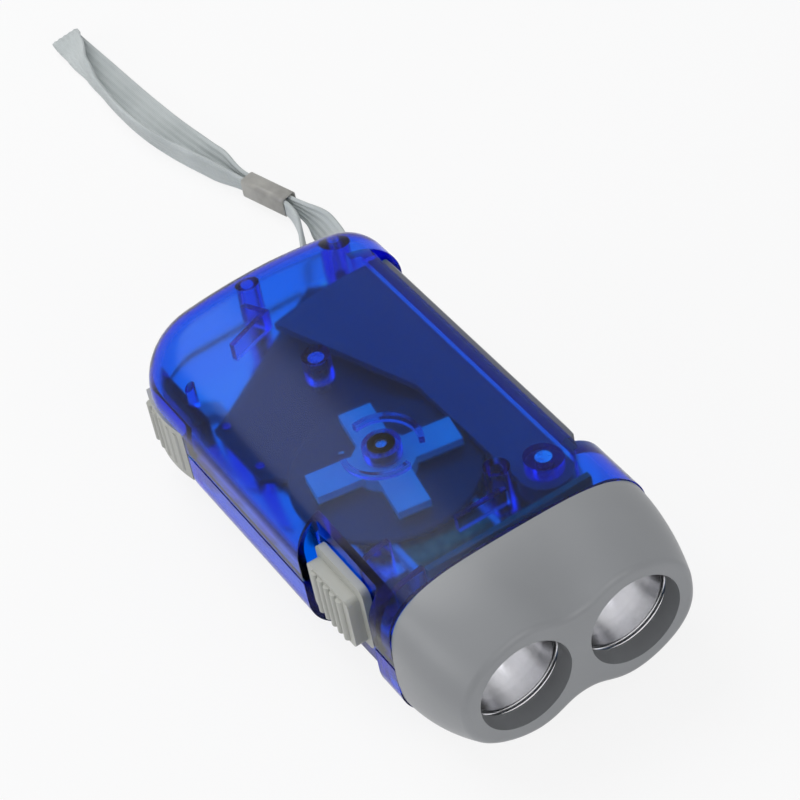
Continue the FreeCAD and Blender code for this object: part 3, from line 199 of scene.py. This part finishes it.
def sweep_tape(points, section):
    """A closed strip along the points, whose wide side follows wide_way."""
    mesh = bmesh.new()
    uv_layer = mesh.loops.layers.uv.new("weave")
    rings = []
    travelled = 0.0
    lengths = []
    for number, point in enumerate(points):
        before = points[max(number - 1, 0)]
        after = points[min(number + 1, len(points) - 1)]
        along = (after - before).normalized()
        wide = wide_way(number / (len(points) - 1))
        height = (wide - along * wide.dot(along)).normalized()
        across = along.cross(height).normalized()
        if number:
            travelled += (point - points[number - 1]).length
        lengths.append(travelled)
        narrow = gathered(point)
        rings.append([mesh.verts.new(point + across * a + height * h * narrow) for a, h in section])
    count = len(section)
    for number in range(len(rings) - 1):
        for corner in range(count):
            following = (corner + 1) % count
            face = mesh.faces.new((rings[number][corner], rings[number + 1][corner],
                                   rings[number + 1][following], rings[number][following]))
            face.smooth = True
            u_pair = (lengths[number], lengths[number + 1])
            v_pair = (corner / count, (corner + 1) / count)
            for loop, (u, v) in zip(face.loops, WEAVE_CORNERS):
                loop[uv_layer].uv = (u_pair[u] * CENTIMETRES, v_pair[v])
    mesh.faces.new(rings[0])
    mesh.faces.new(list(reversed(rings[-1])))
    bmesh.ops.recalc_face_normals(mesh, faces=mesh.faces)
    result = bpy.data.meshes.new("wrist_strap")
    mesh.to_mesh(result)
    mesh.free()
    return result


def new_piece(name, mesh):
    """An object for a finished mesh, at the origin and unturned."""
    piece = bpy.data.objects.new(name, mesh)
    bpy.context.collection.objects.link(piece)
    return piece


strap_mesh = sweep_tape(strap_line, section_points)
print("strap faces", len(strap_mesh.polygons))

# %% [markdown]
# A short sleeve of soft clear tube holds the two strands together. Drawn tight, it takes the shape of what
# is inside it: a rounded oblong. A rounded outline, swept straight and given its wall, is all it needs.

# %% The sleeve
SLEEVE_HALF_LENGTH = 0.0060
SLEEVE_HALF_WIDE = 0.0019
SLEEVE_HALF_TALL = 0.00235
SLEEVE_WALL = 0.00035
SLEEVE_CORNER = 0.0009
SLEEVE_INNER_CORNER = 0.0006
SLEEVE_LIP = 0.0002
CORNER_STEPS = 6


def oblong(half_wide, half_tall, corner):
    """Points round an upright oblong with round corners."""
    points = []
    for quarter, (a, b) in enumerate(((1, 1), (-1, 1), (-1, -1), (1, -1))):
        for step in range(CORNER_STEPS + 1):
            angle = math.radians(90 * quarter + 90 * step / CORNER_STEPS)
            points.append((a * (half_wide - corner) + corner * math.cos(angle),
                           b * (half_tall - corner) + corner * math.sin(angle)))
    return points


def sleeve_mesh():
    """An open tube with a wall, its two ends rounded over, laid along the strap."""
    across = Vector((-SLEEVE_WAY.y, SLEEVE_WAY.x, 0))
    mesh = bmesh.new()
    outer = oblong(SLEEVE_HALF_WIDE, SLEEVE_HALF_TALL, SLEEVE_CORNER)
    inner = oblong(SLEEVE_HALF_WIDE - SLEEVE_WALL, SLEEVE_HALF_TALL - SLEEVE_WALL, SLEEVE_INNER_CORNER)
    middle = oblong(SLEEVE_HALF_WIDE - SLEEVE_WALL / 2, SLEEVE_HALF_TALL - SLEEVE_WALL / 2,
                    (SLEEVE_CORNER + SLEEVE_INNER_CORNER) / 2)
    reach = SLEEVE_HALF_LENGTH
    straight = reach - SLEEVE_LIP
    loops = [(outer, -straight), (outer, straight), (middle, reach), (inner, straight),
             (inner, -straight), (middle, -reach)]
    rings = []
    for outline, place in loops:
        centre = SLEEVE_MIDDLE + SLEEVE_WAY * place
        rings.append([mesh.verts.new(centre + across * a + Vector((0, 0, b))) for a, b in outline])
    for ring, following in zip(rings, rings[1:] + rings[:1]):
        for corner in range(len(ring)):
            other = (corner + 1) % len(ring)
            mesh.faces.new((ring[corner], ring[other], following[other], following[corner])).smooth = True
    bmesh.ops.recalc_face_normals(mesh, faces=mesh.faces)
    result = bpy.data.meshes.new("tape_sleeve")
    mesh.to_mesh(result)
    mesh.free()
    return result


sleeve = new_piece("tape_sleeve", sleeve_mesh())
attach(sleeve, "housing")
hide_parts("strap_sleeve")
print("sleeve faces", len(sleeve.data.polygons))

# %% [markdown]
# The strap is limp and lies loose, with both ends in the housing, and it goes with the housing. The
# photograph shows it from end to end, so the length measured along its line is its real length.

# %% The strap itself
wrist_strap = new_piece("wrist_strap", strap_mesh)
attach(wrist_strap, "housing")
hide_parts("strap")

# %% [markdown]
# Every finish below is built from shader nodes, in the part's own coordinates, so a pattern stays on the
# part when it moves. These small helpers make the nodes that nearly every finish needs.


# %% Helpers for shader nodes
def fresh_material(name):
    """A new material with its node tree and its main shader."""
    material = bpy.data.materials.new(name)
    material.use_nodes = True
    tree = material.node_tree
    shader = tree.nodes["Principled BSDF"]
    return material, tree, shader


def noise(tree, scale, detail=3.0, stretch=(1, 1, 1)):
    """Noise in the part's own coordinates; scale is in waves per metre."""
    place = tree.nodes.new("ShaderNodeTexCoord")
    mapping = tree.nodes.new("ShaderNodeMapping")
    mapping.inputs["Scale"].default_value = stretch
    texture = tree.nodes.new("ShaderNodeTexNoise")
    texture.inputs["Scale"].default_value = scale
    texture.inputs["Detail"].default_value = detail
    tree.links.new(place.outputs["Object"], mapping.inputs["Vector"])
    tree.links.new(mapping.outputs["Vector"], texture.inputs["Vector"])
    return texture.outputs["Fac"]


def ramp(tree, factor, low, high, start=0.35, end=0.65):
    """A colour that runs from low to high as the factor goes from start to end."""
    node = tree.nodes.new("ShaderNodeValToRGB")
    node.color_ramp.elements[0].position = start
    node.color_ramp.elements[1].position = end
    node.color_ramp.elements[0].color = (*low, 1)
    node.color_ramp.elements[1].color = (*high, 1)
    tree.links.new(factor, node.inputs["Fac"])
    return node.outputs["Color"]


def between(tree, factor, low, high):
    """A number that runs from low to high with the factor."""
    node = tree.nodes.new("ShaderNodeMapRange")
    node.inputs["To Min"].default_value = low
    node.inputs["To Max"].default_value = high
    tree.links.new(factor, node.inputs["Value"])
    return node.outputs["Result"]


def bump(tree, shader, height, strength, distance):
    """Fine relief drawn by the shader, with its depth in metres."""
    node = tree.nodes.new("ShaderNodeBump")
    node.inputs["Strength"].default_value = strength
    node.inputs["Distance"].default_value = distance
    tree.links.new(height, node.inputs["Height"])
    tree.links.new(node.outputs["Normal"], shader.inputs["Normal"])


print("node helpers ready")

# %% [markdown]
# A moulded plastic is never one flat colour: its tone drifts a little over the part, and spark erosion
# leaves a fine grain in the mould that breaks up the gloss. One helper makes that kind of plastic, and each
# part gives it its own colour, gloss and size of grain. A second makes drawn metal in the same way.

# %% Moulded plastic and drawn metal
DRIFT_SCALE = 55


def shade(colour, factor):
    """A colour made darker or lighter."""
    return tuple(min(1.0, channel * factor) for channel in colour)


def moulded(name, colour, gloss, grain=2600, depth=0.00002, drift=0.06, strength=0.25):
    """Opaque moulded plastic: slow drift of tone, fine grain, roughness that follows the grain."""
    material, tree, shader = fresh_material(name)
    slow = noise(tree, DRIFT_SCALE, 2.0)
    fine = noise(tree, grain, 2.0)
    tone = ramp(tree, slow, shade(colour, 1 - drift), shade(colour, 1 + drift))
    tree.links.new(tone, shader.inputs["Base Color"])
    tree.links.new(between(tree, fine, gloss - 0.05, gloss + 0.07), shader.inputs["Roughness"])
    shader.inputs["IOR"].default_value = 1.46
    bump(tree, shader, fine, strength, depth)
    return material


def metal(name, colour, gloss, stretch=(1, 1, 14), scale=900):
    """Metal with fine drawn lines, whose tone and gloss follow the lines."""
    material, tree, shader = fresh_material(name)
    lines = noise(tree, scale, 2.0, stretch)
    tone = ramp(tree, lines, shade(colour, 0.88), shade(colour, 1.05))
    tree.links.new(tone, shader.inputs["Base Color"])
    tree.links.new(between(tree, lines, gloss - 0.05, gloss + 0.1), shader.inputs["Roughness"])
    shader.inputs["Metallic"].default_value = 1.0
    bump(tree, shader, lines, 0.15, 0.00001)
    return material


print("plastic and metal helpers ready")

# %% [markdown]
# The housing is the piece that makes the picture. It is clear plastic with a strong blue dye and a faint
# frost, so what touches the wall looks sharp and what lies deeper is blurred. A shader that lets light
# through with some roughness gives that blur. The dye is a volume, not a surface colour: thin walls stay
# bright blue, while posts and ribs, which light crosses lengthwise, turn deep blue by themselves. A bend
# of light weaker than real plastic's keeps the pale floor's reflection off the steep sides.

# %% The clear blue housing
BLUE_DENSITY = 2000.0
BLUE_PASSED = (0.01, 0.80, 0.9835, 1.0)


def clear_blue():
    """Frosted clear plastic with a blue dye in its depth."""
    material, tree, shader = fresh_material("clear_blue")
    slow = noise(tree, 40, 2.0)
    tree.links.new(ramp(tree, slow, (0.55, 0.91, 1.0), (0.62, 0.96, 1.0)), shader.inputs["Base Color"])
    fine = noise(tree, 1500, 2.0)
    tree.links.new(between(tree, fine, 0.15, 0.23), shader.inputs["Roughness"])
    shader.inputs["Transmission Weight"].default_value = 1.0
    shader.inputs["IOR"].default_value = 1.22
    shader.inputs["Specular IOR Level"].default_value = 0.14
    bump(tree, shader, fine, 0.08, 0.00001)
    dye = tree.nodes.new("ShaderNodeVolumeAbsorption")
    dye.inputs["Color"].default_value = BLUE_PASSED
    dye.inputs["Density"].default_value = BLUE_DENSITY
    tree.links.new(dye.outputs["Volume"], tree.nodes["Material Output"].inputs["Volume"])
    return material


def dress(material, *names):
    """Give each named part one finish."""
    for name in names:
        part = nodes[name]
        part.data.materials.clear()
        part.data.materials.append(material)


dress(clear_blue(), "top_shell", "bottom_shell")
print("housing dressed")

# %% [markdown]
# The head and the hand lever are satin grey plastic, the lever darker and cooler. The sliders are a
# lighter, warmer grey with a duller surface and a finer grain.

# %% Grey plastics
dress(moulded("head_grey", (0.300, 0.308, 0.320), 0.36, grain=2300, drift=0.04), "head_bezel")
dress(moulded("lever_grey", (0.110, 0.118, 0.140), 0.40, grain=2300, drift=0.05), "squeeze_lever")
dress(moulded("slider_grey", (0.47, 0.475, 0.44), 0.45, grain=3000, drift=0.04),
      "switch_slider", "lock_slider")
print("grey plastics dressed")

# %% [markdown]
# Inside are white nylon gears, black plates, steel pins and screws. The cover plate's dark tone is partly its
# own and partly painted shade, and the screws are drawn dark as painted shade in their holes. All of them are
# seen only through blue plastic, so their tones are kept simple, but each still has its grain. Gears are
# moulded in one piece with their hub, so nothing more is added to them.

# %% Inner plastics and metals
dress(moulded("white_nylon", (0.78, 0.79, 0.76), 0.38, 1800),
      "drive_pinion", "middle_gear", "rotor_pinion", "coil_bobbin")
dress(moulded("black_plastic", (0.030, 0.030, 0.035), 0.42), "drive_wheel", "flywheel", "switch_body")
# Painted shade: the cover plate's dark, blue-black tone is partly the plate's own and partly the shade that
# fills the housing below the mechanism.
dress(moulded("dark_plate", (0.022, 0.030, 0.045), 0.55), "gear_cover")
dress(moulded("cross_blue", (0.30, 0.86, 0.62), 0.4, 1800), "rotor_cross")
dress(moulded("board_green", (0.04, 0.20, 0.09), 0.3, 900), "circuit_board")
dress(moulded("red_sleeve", (0.55, 0.03, 0.02), 0.45), "red_lead")
dress(moulded("black_sleeve", (0.025, 0.025, 0.025), 0.45), "black_lead")
dress(moulded("magnet", (0.06, 0.06, 0.065), 0.35, 1500), "rotor_magnet")
dress(metal("steel", (0.60, 0.60, 0.61), 0.25),
      "lever_pin", "drive_axle", "middle_axle", "rotor_shaft", "lever_spring", "stator_core", "cell_clip",
      "button_cell")
# Painted shade: the case screws are steel, drawn as dark metal to stand for the shade in the posts' holes
# where they sit.
dress(metal("steel_screws_in_painted_shade", (0.10, 0.10, 0.11), 0.45), "case_screws")
dress(metal("bronze", (0.10, 0.085, 0.07), 0.4), "top_bush", "bottom_bush")
print("inner parts dressed")

# %% [markdown]
# Each lamp is a plated bowl with a clear dome in its middle, behind a clear disc. The plating is nearly a
# mirror, and what makes it sparkle in a picture are the shallow ripples left by the mould. They are too
# low to model, so they are a slow noise in the relief and the gloss. The disc and the dome have a weaker
# ripple of the same kind.


# %% Lamps
def plated():
    """Bright plating with shallow ripples."""
    material, tree, shader = fresh_material("chrome")
    shader.inputs["Metallic"].default_value = 1.0
    ripple = noise(tree, 150, 1.0)
    tree.links.new(ramp(tree, ripple, (0.84, 0.84, 0.86), (0.94, 0.94, 0.95)), shader.inputs["Base Color"])
    tree.links.new(between(tree, ripple, 0.10, 0.22), shader.inputs["Roughness"])
    bump(tree, shader, ripple, 0.12, 0.0003)
    return material


def clear(name, tint, roughness, ior):
    """Polished clear plastic, very slightly uneven."""
    material, tree, shader = fresh_material(name)
    shader.inputs["Base Color"].default_value = (*tint, 1)
    shader.inputs["Roughness"].default_value = roughness
    shader.inputs["Transmission Weight"].default_value = 1.0
    shader.inputs["IOR"].default_value = ior
    ripple = noise(tree, 120, 1.0)
    bump(tree, shader, ripple, 0.04, 0.0002)
    return material


dress(plated(), "reflector_left", "reflector_right")
dress(clear("lens_clear", (0.99, 0.99, 1.0), 0.015, 1.45), "lens_left", "lens_right")
dress(clear("led_clear", (0.97, 0.98, 1.0), 0.03, 1.5), "led_left", "led_right")
print("lamps dressed")

# %% [markdown]
# The winding is many turns of fine enamelled wire laid side by side on the bobbin. Its place and size are
# read from the engineering model's plain block, which it replaces.

# %% The wire's finish and the room for it
copper, copper_tree, copper_shader = fresh_material("copper")
copper_tone = noise(copper_tree, 700, 2.0)
copper_tree.links.new(ramp(copper_tree, copper_tone, (0.50, 0.18, 0.06), (0.72, 0.30, 0.11)),
                      copper_shader.inputs["Base Color"])
copper_shader.inputs["Metallic"].default_value = 0.85
copper_tree.links.new(between(copper_tree, copper_tone, 0.25, 0.4), copper_shader.inputs["Roughness"])

winding_low, winding_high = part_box("coil_winding")
winding_low, winding_high = Vector(winding_low), Vector(winding_high)
winding_size = winding_high - winding_low
winding_middle = (winding_low + winding_high) / 2
print("winding size in mm", [round(c * 1000, 2) for c in winding_size])

# %% [markdown]
# The turns follow one rule, so Geometry Nodes make them: a rounded rectangle is the path of one turn, a
# small circle is the wire, and copies of that turn stand in a row along the bobbin. The tree has named
# inputs for its sizes, so the same tree would wind another bobbin.

# %% A node tree for turns of wire
TURN_CORNER = 0.0012
TURN_CORNER_STEPS = 3
WIRE_SIDES = 6
TURN_INPUTS = (("Width", "NodeSocketFloat"), ("Height", "NodeSocketFloat"), ("Length", "NodeSocketFloat"),
               ("Turns", "NodeSocketInt"), ("Wire", "NodeSocketFloat"), ("Finish", "NodeSocketMaterial"))


def coil_tree():
    """One turn of wire repeated along the bobbin, with TURN_INPUTS for its sizes."""
    tree = bpy.data.node_groups.new("wire_turns", "GeometryNodeTree")
    tree.interface.new_socket("Geometry", in_out="OUTPUT", socket_type="NodeSocketGeometry")
    for label, kind in TURN_INPUTS:
        tree.interface.new_socket(label, in_out="INPUT", socket_type=kind)
    enter = tree.nodes.new("NodeGroupInput")
    leave = tree.nodes.new("NodeGroupOutput")
    turn = tree.nodes.new("GeometryNodeCurvePrimitiveQuadrilateral")
    soften = tree.nodes.new("GeometryNodeFilletCurve")
    soften.mode = "POLY"
    soften.inputs["Count"].default_value = TURN_CORNER_STEPS
    soften.inputs["Radius"].default_value = TURN_CORNER
    wire = tree.nodes.new("GeometryNodeCurvePrimitiveCircle")
    wire.inputs["Resolution"].default_value = WIRE_SIDES
    tube = tree.nodes.new("GeometryNodeCurveToMesh")
    row = tree.nodes.new("GeometryNodeMeshLine")
    row.mode = "END_POINTS"
    reach = tree.nodes.new("ShaderNodeCombineXYZ")
    copies = tree.nodes.new("GeometryNodeInstanceOnPoints")
    real = tree.nodes.new("GeometryNodeRealizeInstances")
    finish = tree.nodes.new("GeometryNodeSetMaterial")
    link = tree.links.new
    link(enter.outputs["Width"], turn.inputs["Width"])
    link(enter.outputs["Height"], turn.inputs["Height"])
    link(turn.outputs["Curve"], soften.inputs["Curve"])
    link(enter.outputs["Wire"], wire.inputs["Radius"])
    link(soften.outputs["Curve"], tube.inputs["Curve"])
    link(wire.outputs["Curve"], tube.inputs["Profile Curve"])
    link(enter.outputs["Length"], reach.inputs["Z"])
    link(enter.outputs["Turns"], row.inputs["Count"])
    link(reach.outputs["Vector"], row.inputs["Offset"])
    link(row.outputs["Mesh"], copies.inputs["Points"])
    link(tube.outputs["Mesh"], copies.inputs["Instance"])
    link(copies.outputs["Instances"], real.inputs["Geometry"])
    link(real.outputs["Geometry"], finish.inputs["Geometry"])
    link(enter.outputs["Finish"], finish.inputs["Material"])
    link(finish.outputs["Geometry"], leave.inputs["Geometry"])
    return tree


turns_tree = coil_tree()
print("tree inputs", [label for label, kind in TURN_INPUTS])

# %% [markdown]
# A tree is run on an empty piece. Its inputs are set by each socket's identifier, and the evaluated result
# is kept as a plain mesh, which needs no modifier. It is made lying on its side, so it is stood up after.


# %% Winding the coil
def run_tree(name, tree, **values):
    """Evaluate a node tree on an empty piece and keep the result as a plain mesh."""
    holder = new_piece(name + "_holder", bpy.data.meshes.new(name + "_holder"))
    modifier = holder.modifiers.new("nodes", "NODES")
    modifier.node_group = tree
    for item in tree.interface.items_tree:
        if item.in_out == "INPUT" and item.name in values:
            modifier[item.identifier] = values[item.name]
    bpy.context.view_layer.update()
    evaluated = holder.evaluated_get(bpy.context.evaluated_depsgraph_get())
    mesh = bpy.data.meshes.new_from_object(evaluated)
    mesh.name = name
    bpy.data.objects.remove(holder)
    return mesh


WIRE_RADIUS = 0.00022
turns = int(winding_size.y / (2 * WIRE_RADIUS))
coil_mesh = run_tree("wire_turns", turns_tree, Width=winding_size.x - 2 * WIRE_RADIUS,
                     Height=winding_size.z - 2 * WIRE_RADIUS, Length=winding_size.y - 2 * WIRE_RADIUS,
                     Turns=turns, Wire=WIRE_RADIUS, Finish=copper)
stand_up = Matrix.Rotation(math.radians(-90), 4, "X")
first_turn = Vector((winding_middle.x, winding_low.y + WIRE_RADIUS, winding_middle.z))
coil_mesh.transform(Matrix.Translation(first_turn) @ stand_up)
winding = new_piece("wire_turns", coil_mesh)
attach(winding, "housing")
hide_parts("coil_winding")
print("turns of wire", turns, "faces", len(coil_mesh.polygons))

# %% [markdown]
# The tape is woven: fine threads cross it between the lengthwise cords, and its colour is a cool pale grey
# with painted shade in the grooves, darker where the threads' relief is low. The pattern is two waves over
# the sweep's own UV map, so it bends with the tape. The little sleeve that holds the two strands is milky
# plastic, slightly yellowed.

# %% Strap and sleeve finishes
THREADS_ALONG = 25
THREADS_ROUND = 44


def woven_tape():
    """Cool grey weave with cross threads and painted shade in its grooves, drawn on the tape's UV map."""
    material, tree, shader = fresh_material("strap_weave")
    source = tree.nodes.new("ShaderNodeUVMap")
    source.uv_map = "weave"
    split = tree.nodes.new("ShaderNodeSeparateXYZ")
    tree.links.new(source.outputs["UV"], split.inputs["Vector"])

    def wave(socket, waves):
        scaled = tree.nodes.new("ShaderNodeMath")
        scaled.operation = "MULTIPLY"
        scaled.inputs[1].default_value = waves * 2 * math.pi
        tree.links.new(socket, scaled.inputs[0])
        sine = tree.nodes.new("ShaderNodeMath")
        sine.operation = "SINE"
        tree.links.new(scaled.outputs["Value"], sine.inputs[0])
        return between(tree, sine.outputs["Value"], 0.0, 1.0)

    along = wave(split.outputs["X"], THREADS_ALONG)
    across = wave(split.outputs["Y"], THREADS_ROUND)
    for result in (along, across):
        result.node.inputs["From Min"].default_value = -1.0
    threads = tree.nodes.new("ShaderNodeMath")
    threads.operation = "MULTIPLY_ADD"
    threads.inputs[1].default_value = 0.6
    tree.links.new(along, threads.inputs[0])
    tree.links.new(across, threads.inputs[2])
    # Painted shade: the grey follows the threads' relief and is darker in the grooves, with random tone from
    # the noise added.
    tone = tree.nodes.new("ShaderNodeMath")
    tone.operation = "MULTIPLY_ADD"
    tone.inputs[1].default_value = 0.25
    tree.links.new(threads.outputs["Value"], tone.inputs[0])
    tree.links.new(noise(tree, 90, 3.0), tone.inputs[2])
    grey_and_groove_shade = ramp(tree, tone.outputs["Value"], (0.46, 0.50, 0.50), (0.62, 0.66, 0.66), 0.3, 0.95)
    tree.links.new(grey_and_groove_shade, shader.inputs["Base Color"])
    shader.inputs["Roughness"].default_value = 0.72
    shader.inputs["Sheen Weight"].default_value = 0.25
    shader.inputs["Sheen Roughness"].default_value = 0.4
    bump(tree, shader, threads.outputs["Value"], 0.5, 0.00006)
    return material


def milky():
    """Cloudy plastic that lets a little light through."""
    material, tree, shader = fresh_material("sleeve_clear")
    cloud = noise(tree, 400, 2.0)
    tree.links.new(ramp(tree, cloud, (0.46, 0.45, 0.42), (0.58, 0.57, 0.53)), shader.inputs["Base Color"])
    tree.links.new(between(tree, cloud, 0.25, 0.36), shader.inputs["Roughness"])
    shader.inputs["Transmission Weight"].default_value = 0.35
    shader.inputs["IOR"].default_value = 1.45
    bump(tree, shader, cloud, 0.2, 0.00005)
    return material


wrist_strap.data.materials.append(woven_tape())
sleeve.data.materials.append(milky())
print("strap and sleeve dressed")

# %% [markdown]
# What is left is the studio. The floor is plain and pale and takes the torch's shadow. For the camera, and
# for rays off gloss or through clear plastic, it is mixed with white light, so the picture's background is
# nearly white without more light on the torch.


# %% Floor
def sees_backdrop(tree):
    """One for rays from the camera, off glossy faces and through clear ones."""
    path = tree.nodes.new("ShaderNodeLightPath")
    total = path.outputs["Is Camera Ray"]
    for label in ("Is Glossy Ray", "Is Transmission Ray"):
        add = tree.nodes.new("ShaderNodeMath")
        add.operation = "ADD"
        add.use_clamp = True
        tree.links.new(total, add.inputs[0])
        tree.links.new(path.outputs[label], add.inputs[1])
        total = add.outputs["Value"]
    return total


FLOOR_HALF = 2.0
FLOOR_LOW = -0.0002
FLOOR_WHITE = 0.86
floor_corners = [(x * FLOOR_HALF, y * FLOOR_HALF, FLOOR_LOW) for x, y in ((-1, -1), (1, -1), (1, 1), (-1, 1))]
floor_mesh = bpy.data.meshes.new("floor")
floor_mesh.from_pydata(floor_corners, [], [(0, 1, 2, 3)])
floor = new_piece("floor", floor_mesh)
paper, paper_tree, paper_shader = fresh_material("paper")
paper_shader.inputs["Base Color"].default_value = (0.86, 0.86, 0.87, 1)
paper_shader.inputs["Roughness"].default_value = 0.9
glow = paper_tree.nodes.new("ShaderNodeEmission")
glow.inputs["Color"].default_value = (1, 1, 1, 1)
share = paper_tree.nodes.new("ShaderNodeMath")
share.operation = "MULTIPLY"
share.inputs[1].default_value = FLOOR_WHITE
paper_tree.links.new(sees_backdrop(paper_tree), share.inputs[0])
blend = paper_tree.nodes.new("ShaderNodeMixShader")
paper_tree.links.new(share.outputs["Value"], blend.inputs["Fac"])
paper_tree.links.new(paper_shader.outputs["BSDF"], blend.inputs[1])
paper_tree.links.new(glow.outputs["Emission"], blend.inputs[2])
paper_tree.links.new(blend.outputs["Shader"], paper_tree.nodes["Material Output"].inputs["Surface"])
floor_mesh.materials.append(paper)
print("floor", FLOOR_HALF * 2, "m")

# %% [markdown]
# A large soft light stands above and behind, a little to the left. Seen off the housing's rounded shoulder
# it draws the long soft streak along the left edge. A second one lights the left side, and a third fills
# the front, so the head's face is as light as its top.


# %% Lights
def soft_light(name, place, target, size, watts):
    """A rectangular light at a place, turned to a target."""
    data = bpy.data.lights.new(name, "AREA")
    data.shape = "RECTANGLE"
    data.size, data.size_y = size
    data.energy = watts
    lamp = bpy.data.objects.new(name, data)
    bpy.context.collection.objects.link(lamp)
    lamp.location = place
    lamp.rotation_euler = (Vector(target) - Vector(place)).to_track_quat("-Z", "Y").to_euler()


soft_light("overhead", (-0.42, -0.12, 0.66), (0, 0, 0), (0.6, 0.5), 2.7)
soft_light("left_window", (-0.10, -0.75, 0.35), (0, 0, 0.01), (0.7, 0.35), 1.4)
soft_light("front_fill", (0.70, 0.10, 0.30), (0, 0, 0.01), (0.4, 0.4), 1.3)
print("lights set")

# %% [markdown]
# The surroundings give a weak even light from all sides. Where the camera, a glossy face or clear plastic
# looks past the floor, they are plain white.

# %% Surroundings
world = bpy.data.worlds.new("studio")
bpy.context.scene.world = world
world.use_nodes = True
sky = world.node_tree
around = sky.nodes["Background"]
around.inputs["Color"].default_value = (0.95, 0.97, 1.0, 1)
around.inputs["Strength"].default_value = 0.32
seen = sky.nodes.new("ShaderNodeBackground")
seen.inputs["Color"].default_value = (1, 1, 1, 1)
seen.inputs["Strength"].default_value = 1.0
choose = sky.nodes.new("ShaderNodeMixShader")
sky.links.new(sees_backdrop(sky), choose.inputs["Fac"])
sky.links.new(around.outputs["Background"], choose.inputs[1])
sky.links.new(seen.outputs["Background"], choose.inputs[2])
sky.links.new(choose.outputs["Shader"], sky.nodes["World Output"].inputs["Surface"])
bpy.context.scene.view_settings.view_transform = "Standard"
print("surroundings set")
